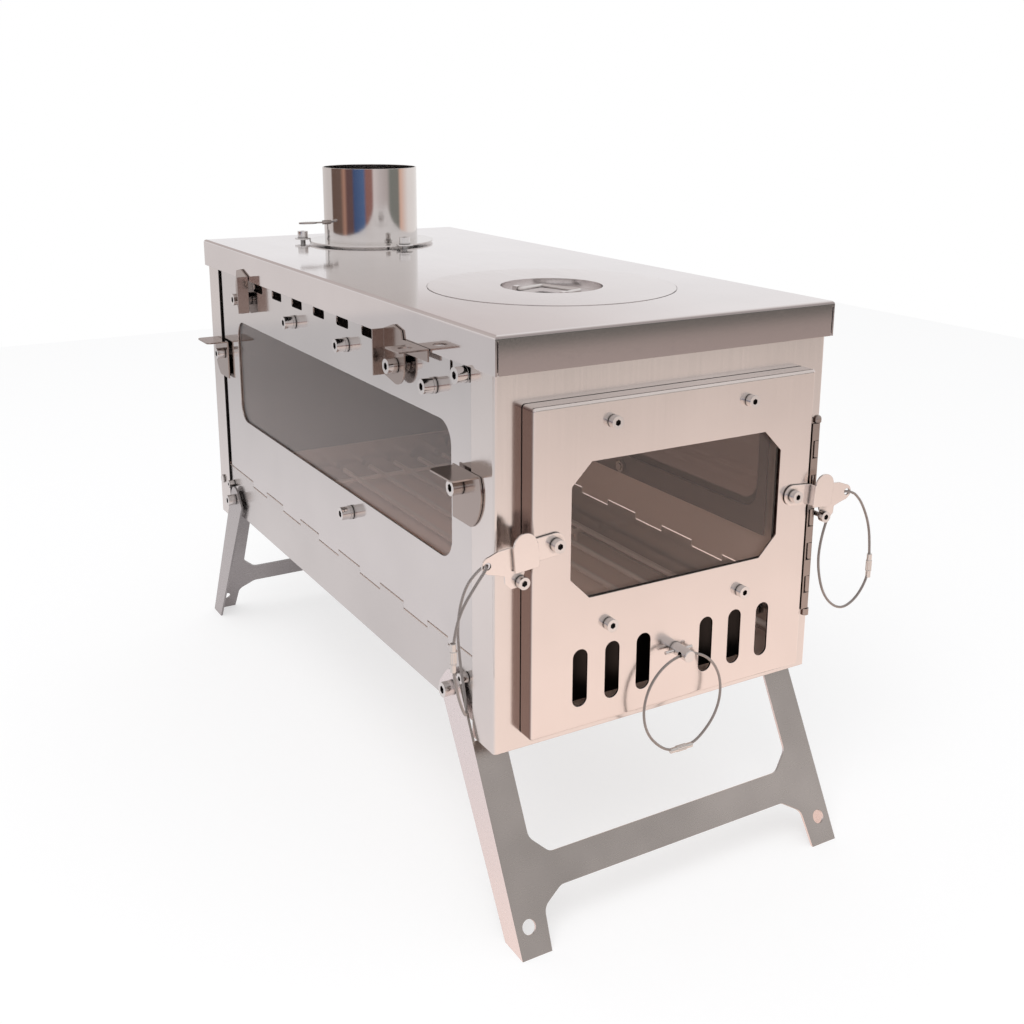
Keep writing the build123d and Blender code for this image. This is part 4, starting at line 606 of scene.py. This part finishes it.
def pull_ring(name, body, loop, facing, sleeve_at, sleeve_along):
    """A ring of wire rope and its sleeve. The rope leaves one end of the sleeve, passes the loop's
    points and ends in the other. Each strand's axis is a helix round the rope's line; the sleeve is a
    turned profile whose radius ripples round its middle, as crimped flutes do."""
    axis = np.array(sleeve_along, float)
    points = [np.array(sleeve_at) + reach * axis for reach in (ROPE_END, SLEEVE_HALF)]
    points += loop
    points += [np.array(sleeve_at) - reach * axis for reach in (SLEEVE_HALF, ROPE_END)]
    line, run = rope_line(name, points)
    along = np.gradient(line, axis=0)
    along /= np.linalg.norm(along, axis=1)[:, None]
    across = np.cross(np.array(facing), along)
    across /= np.linalg.norm(across, axis=1)[:, None]
    over = np.cross(along, across)
    thin = np.full((len(line), STRAND_SIDES), STRAND_RADIUS)
    parts = [tube_mesh(line, across, over, thin, STRAND_SIDES)]
    for strand in range(STRANDS):
        turn = 2 * np.pi * (run / LAY_LENGTH + strand / STRANDS)[:, None]
        offset = (ROPE_RADIUS - STRAND_RADIUS) * (np.cos(turn) * across + np.sin(turn) * over)
        parts.append(tube_mesh(line + offset, across, over, thin, STRAND_SIDES))
    rope = make_piece(name + "_rope", parts, rope_steel)
    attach(rope, body)
    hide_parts(name)

    count = len(SLEEVE_PROFILE)
    first = np.cross(np.array(facing), axis)
    second = np.cross(axis, first)
    ripple = 0.5 - 0.5 * np.cos(FLUTES * np.linspace(0, 2 * np.pi, SLEEVE_SIDES, endpoint=False))
    fluted = (np.abs(SLEEVE_PROFILE[:, 0]) < FLUTED_HALF)[:, None]
    radii = SLEEVE_PROFILE[:, 1:] - np.where(fluted, FLUTE_DEPTH * ripple[None, :], 0)
    centres = np.array(sleeve_at) + SLEEVE_PROFILE[:, :1] * axis
    shell = tube_mesh(centres, np.tile(first, (count, 1)), np.tile(second, (count, 1)), radii, SLEEVE_SIDES)
    sleeve = make_piece(name + "_sleeve", [shell], sleeve_steel, smooth=False)
    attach(sleeve, body)
    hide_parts(name + "_ferrule")


rope_steel = steel("rope_wire", ROPE_COLOUR, ROPE_ROUGH, ROPE_GRAIN, edge=ROPE_EDGE)
sleeve_steel = steel("sleeve_steel", SLEEVE_COLOUR, SLEEVE_ROUGH, SLEEVE_GRAIN, edge=ROPE_EDGE)

# Right ring: it runs through the hole in the right latch's tab and hangs down outside it, bent a
# little out of its plane where it passes the tab. Its points are measured from the hole.
HOLE = (119.846, -244.4, 214.470)
right_loop = [(HOLE[0] + dx, y, HOLE[2] + dz) for dx, y, dz in (
    (19.6, -245.9, -24), (12.0, -246.4, -9), (6.0, -246.5, -2.4), (3.1, -246.35, -0.7),
    (1.5, -245.7, -0.15), (0, -244.4, 0), (-1.5, -243.25, -0.25), (-3.1, -242.8, -1.1),
    (-6.0, -242.7, -4.0), (-11.0, -242.7, -12), (-16.2, -242.7, -28), (-17.2, -242.7, -44),
    (-11.5, -243.3, -64), (1.5, -244.1, -75), (13.5, -245.1, -70.5))]
pull_ring("right_ring", "pull_ring_right", right_loop, (0, 1, 0), (HOLE[0] + 22.3, -245.5, HOLE[2] - 50),
          (0, 0, 1))

# Left ring: it hangs from the left latch in the same way, but its plane stands askew and its middle
# bows out past the corner of the pan.
TURN = np.radians(59.3)


def bowed(w, b, dz):
    """A point of the left ring: w along its plane, b out of it, dz up from the hole."""
    return (-HOLE[0] + w * np.cos(TURN) - b * np.sin(TURN), HOLE[1] + w * np.sin(TURN) + b * np.cos(TURN),
            HOLE[2] + dz)


left_loop = [bowed(*point) for point in (
    (-16, 12.5, -17), (-9.5, 4.8, -5.4), (-3.2, 0.5, -0.6), (0, 0, 0), (3.2, 0.3, -0.6), (9.5, 4.4, -5.4),
    (16.5, 12, -18), (18.5, 16, -38), (16, 14.6, -58), (8.5, 11.6, -74), (0, 10.3, -79.5),
    (-8.5, 11.2, -75.5), (-15.8, 13.8, -62))]
pull_ring("left_ring", "pull_ring_left", left_loop, (-np.sin(TURN), np.cos(TURN), 0), bowed(-18, 16, -40),
          (0, 0, 1))

# Knob ring: a flat oval that runs through the hole in the damper's rod and hangs in front of the door.
# Its sleeve lies at its lowest point.
KNOB_RING_Y = -250.6
KNOB_RING_LOW = 85.5
KNOB_RING_HALF = 27.0
KNOB_RING_DROP = 57.0
knob_loop = [(KNOB_RING_HALF * np.sin(angle), KNOB_RING_Y,
              KNOB_RING_LOW + KNOB_RING_DROP * (1 - np.cos(angle)) / 2)
             for angle in np.radians(np.arange(36, 325, 24))]
pull_ring("knob_ring", "pull_ring_knob", knob_loop, (0, 1, 0), (0, KNOB_RING_Y, KNOB_RING_LOW), (1, 0, 0))
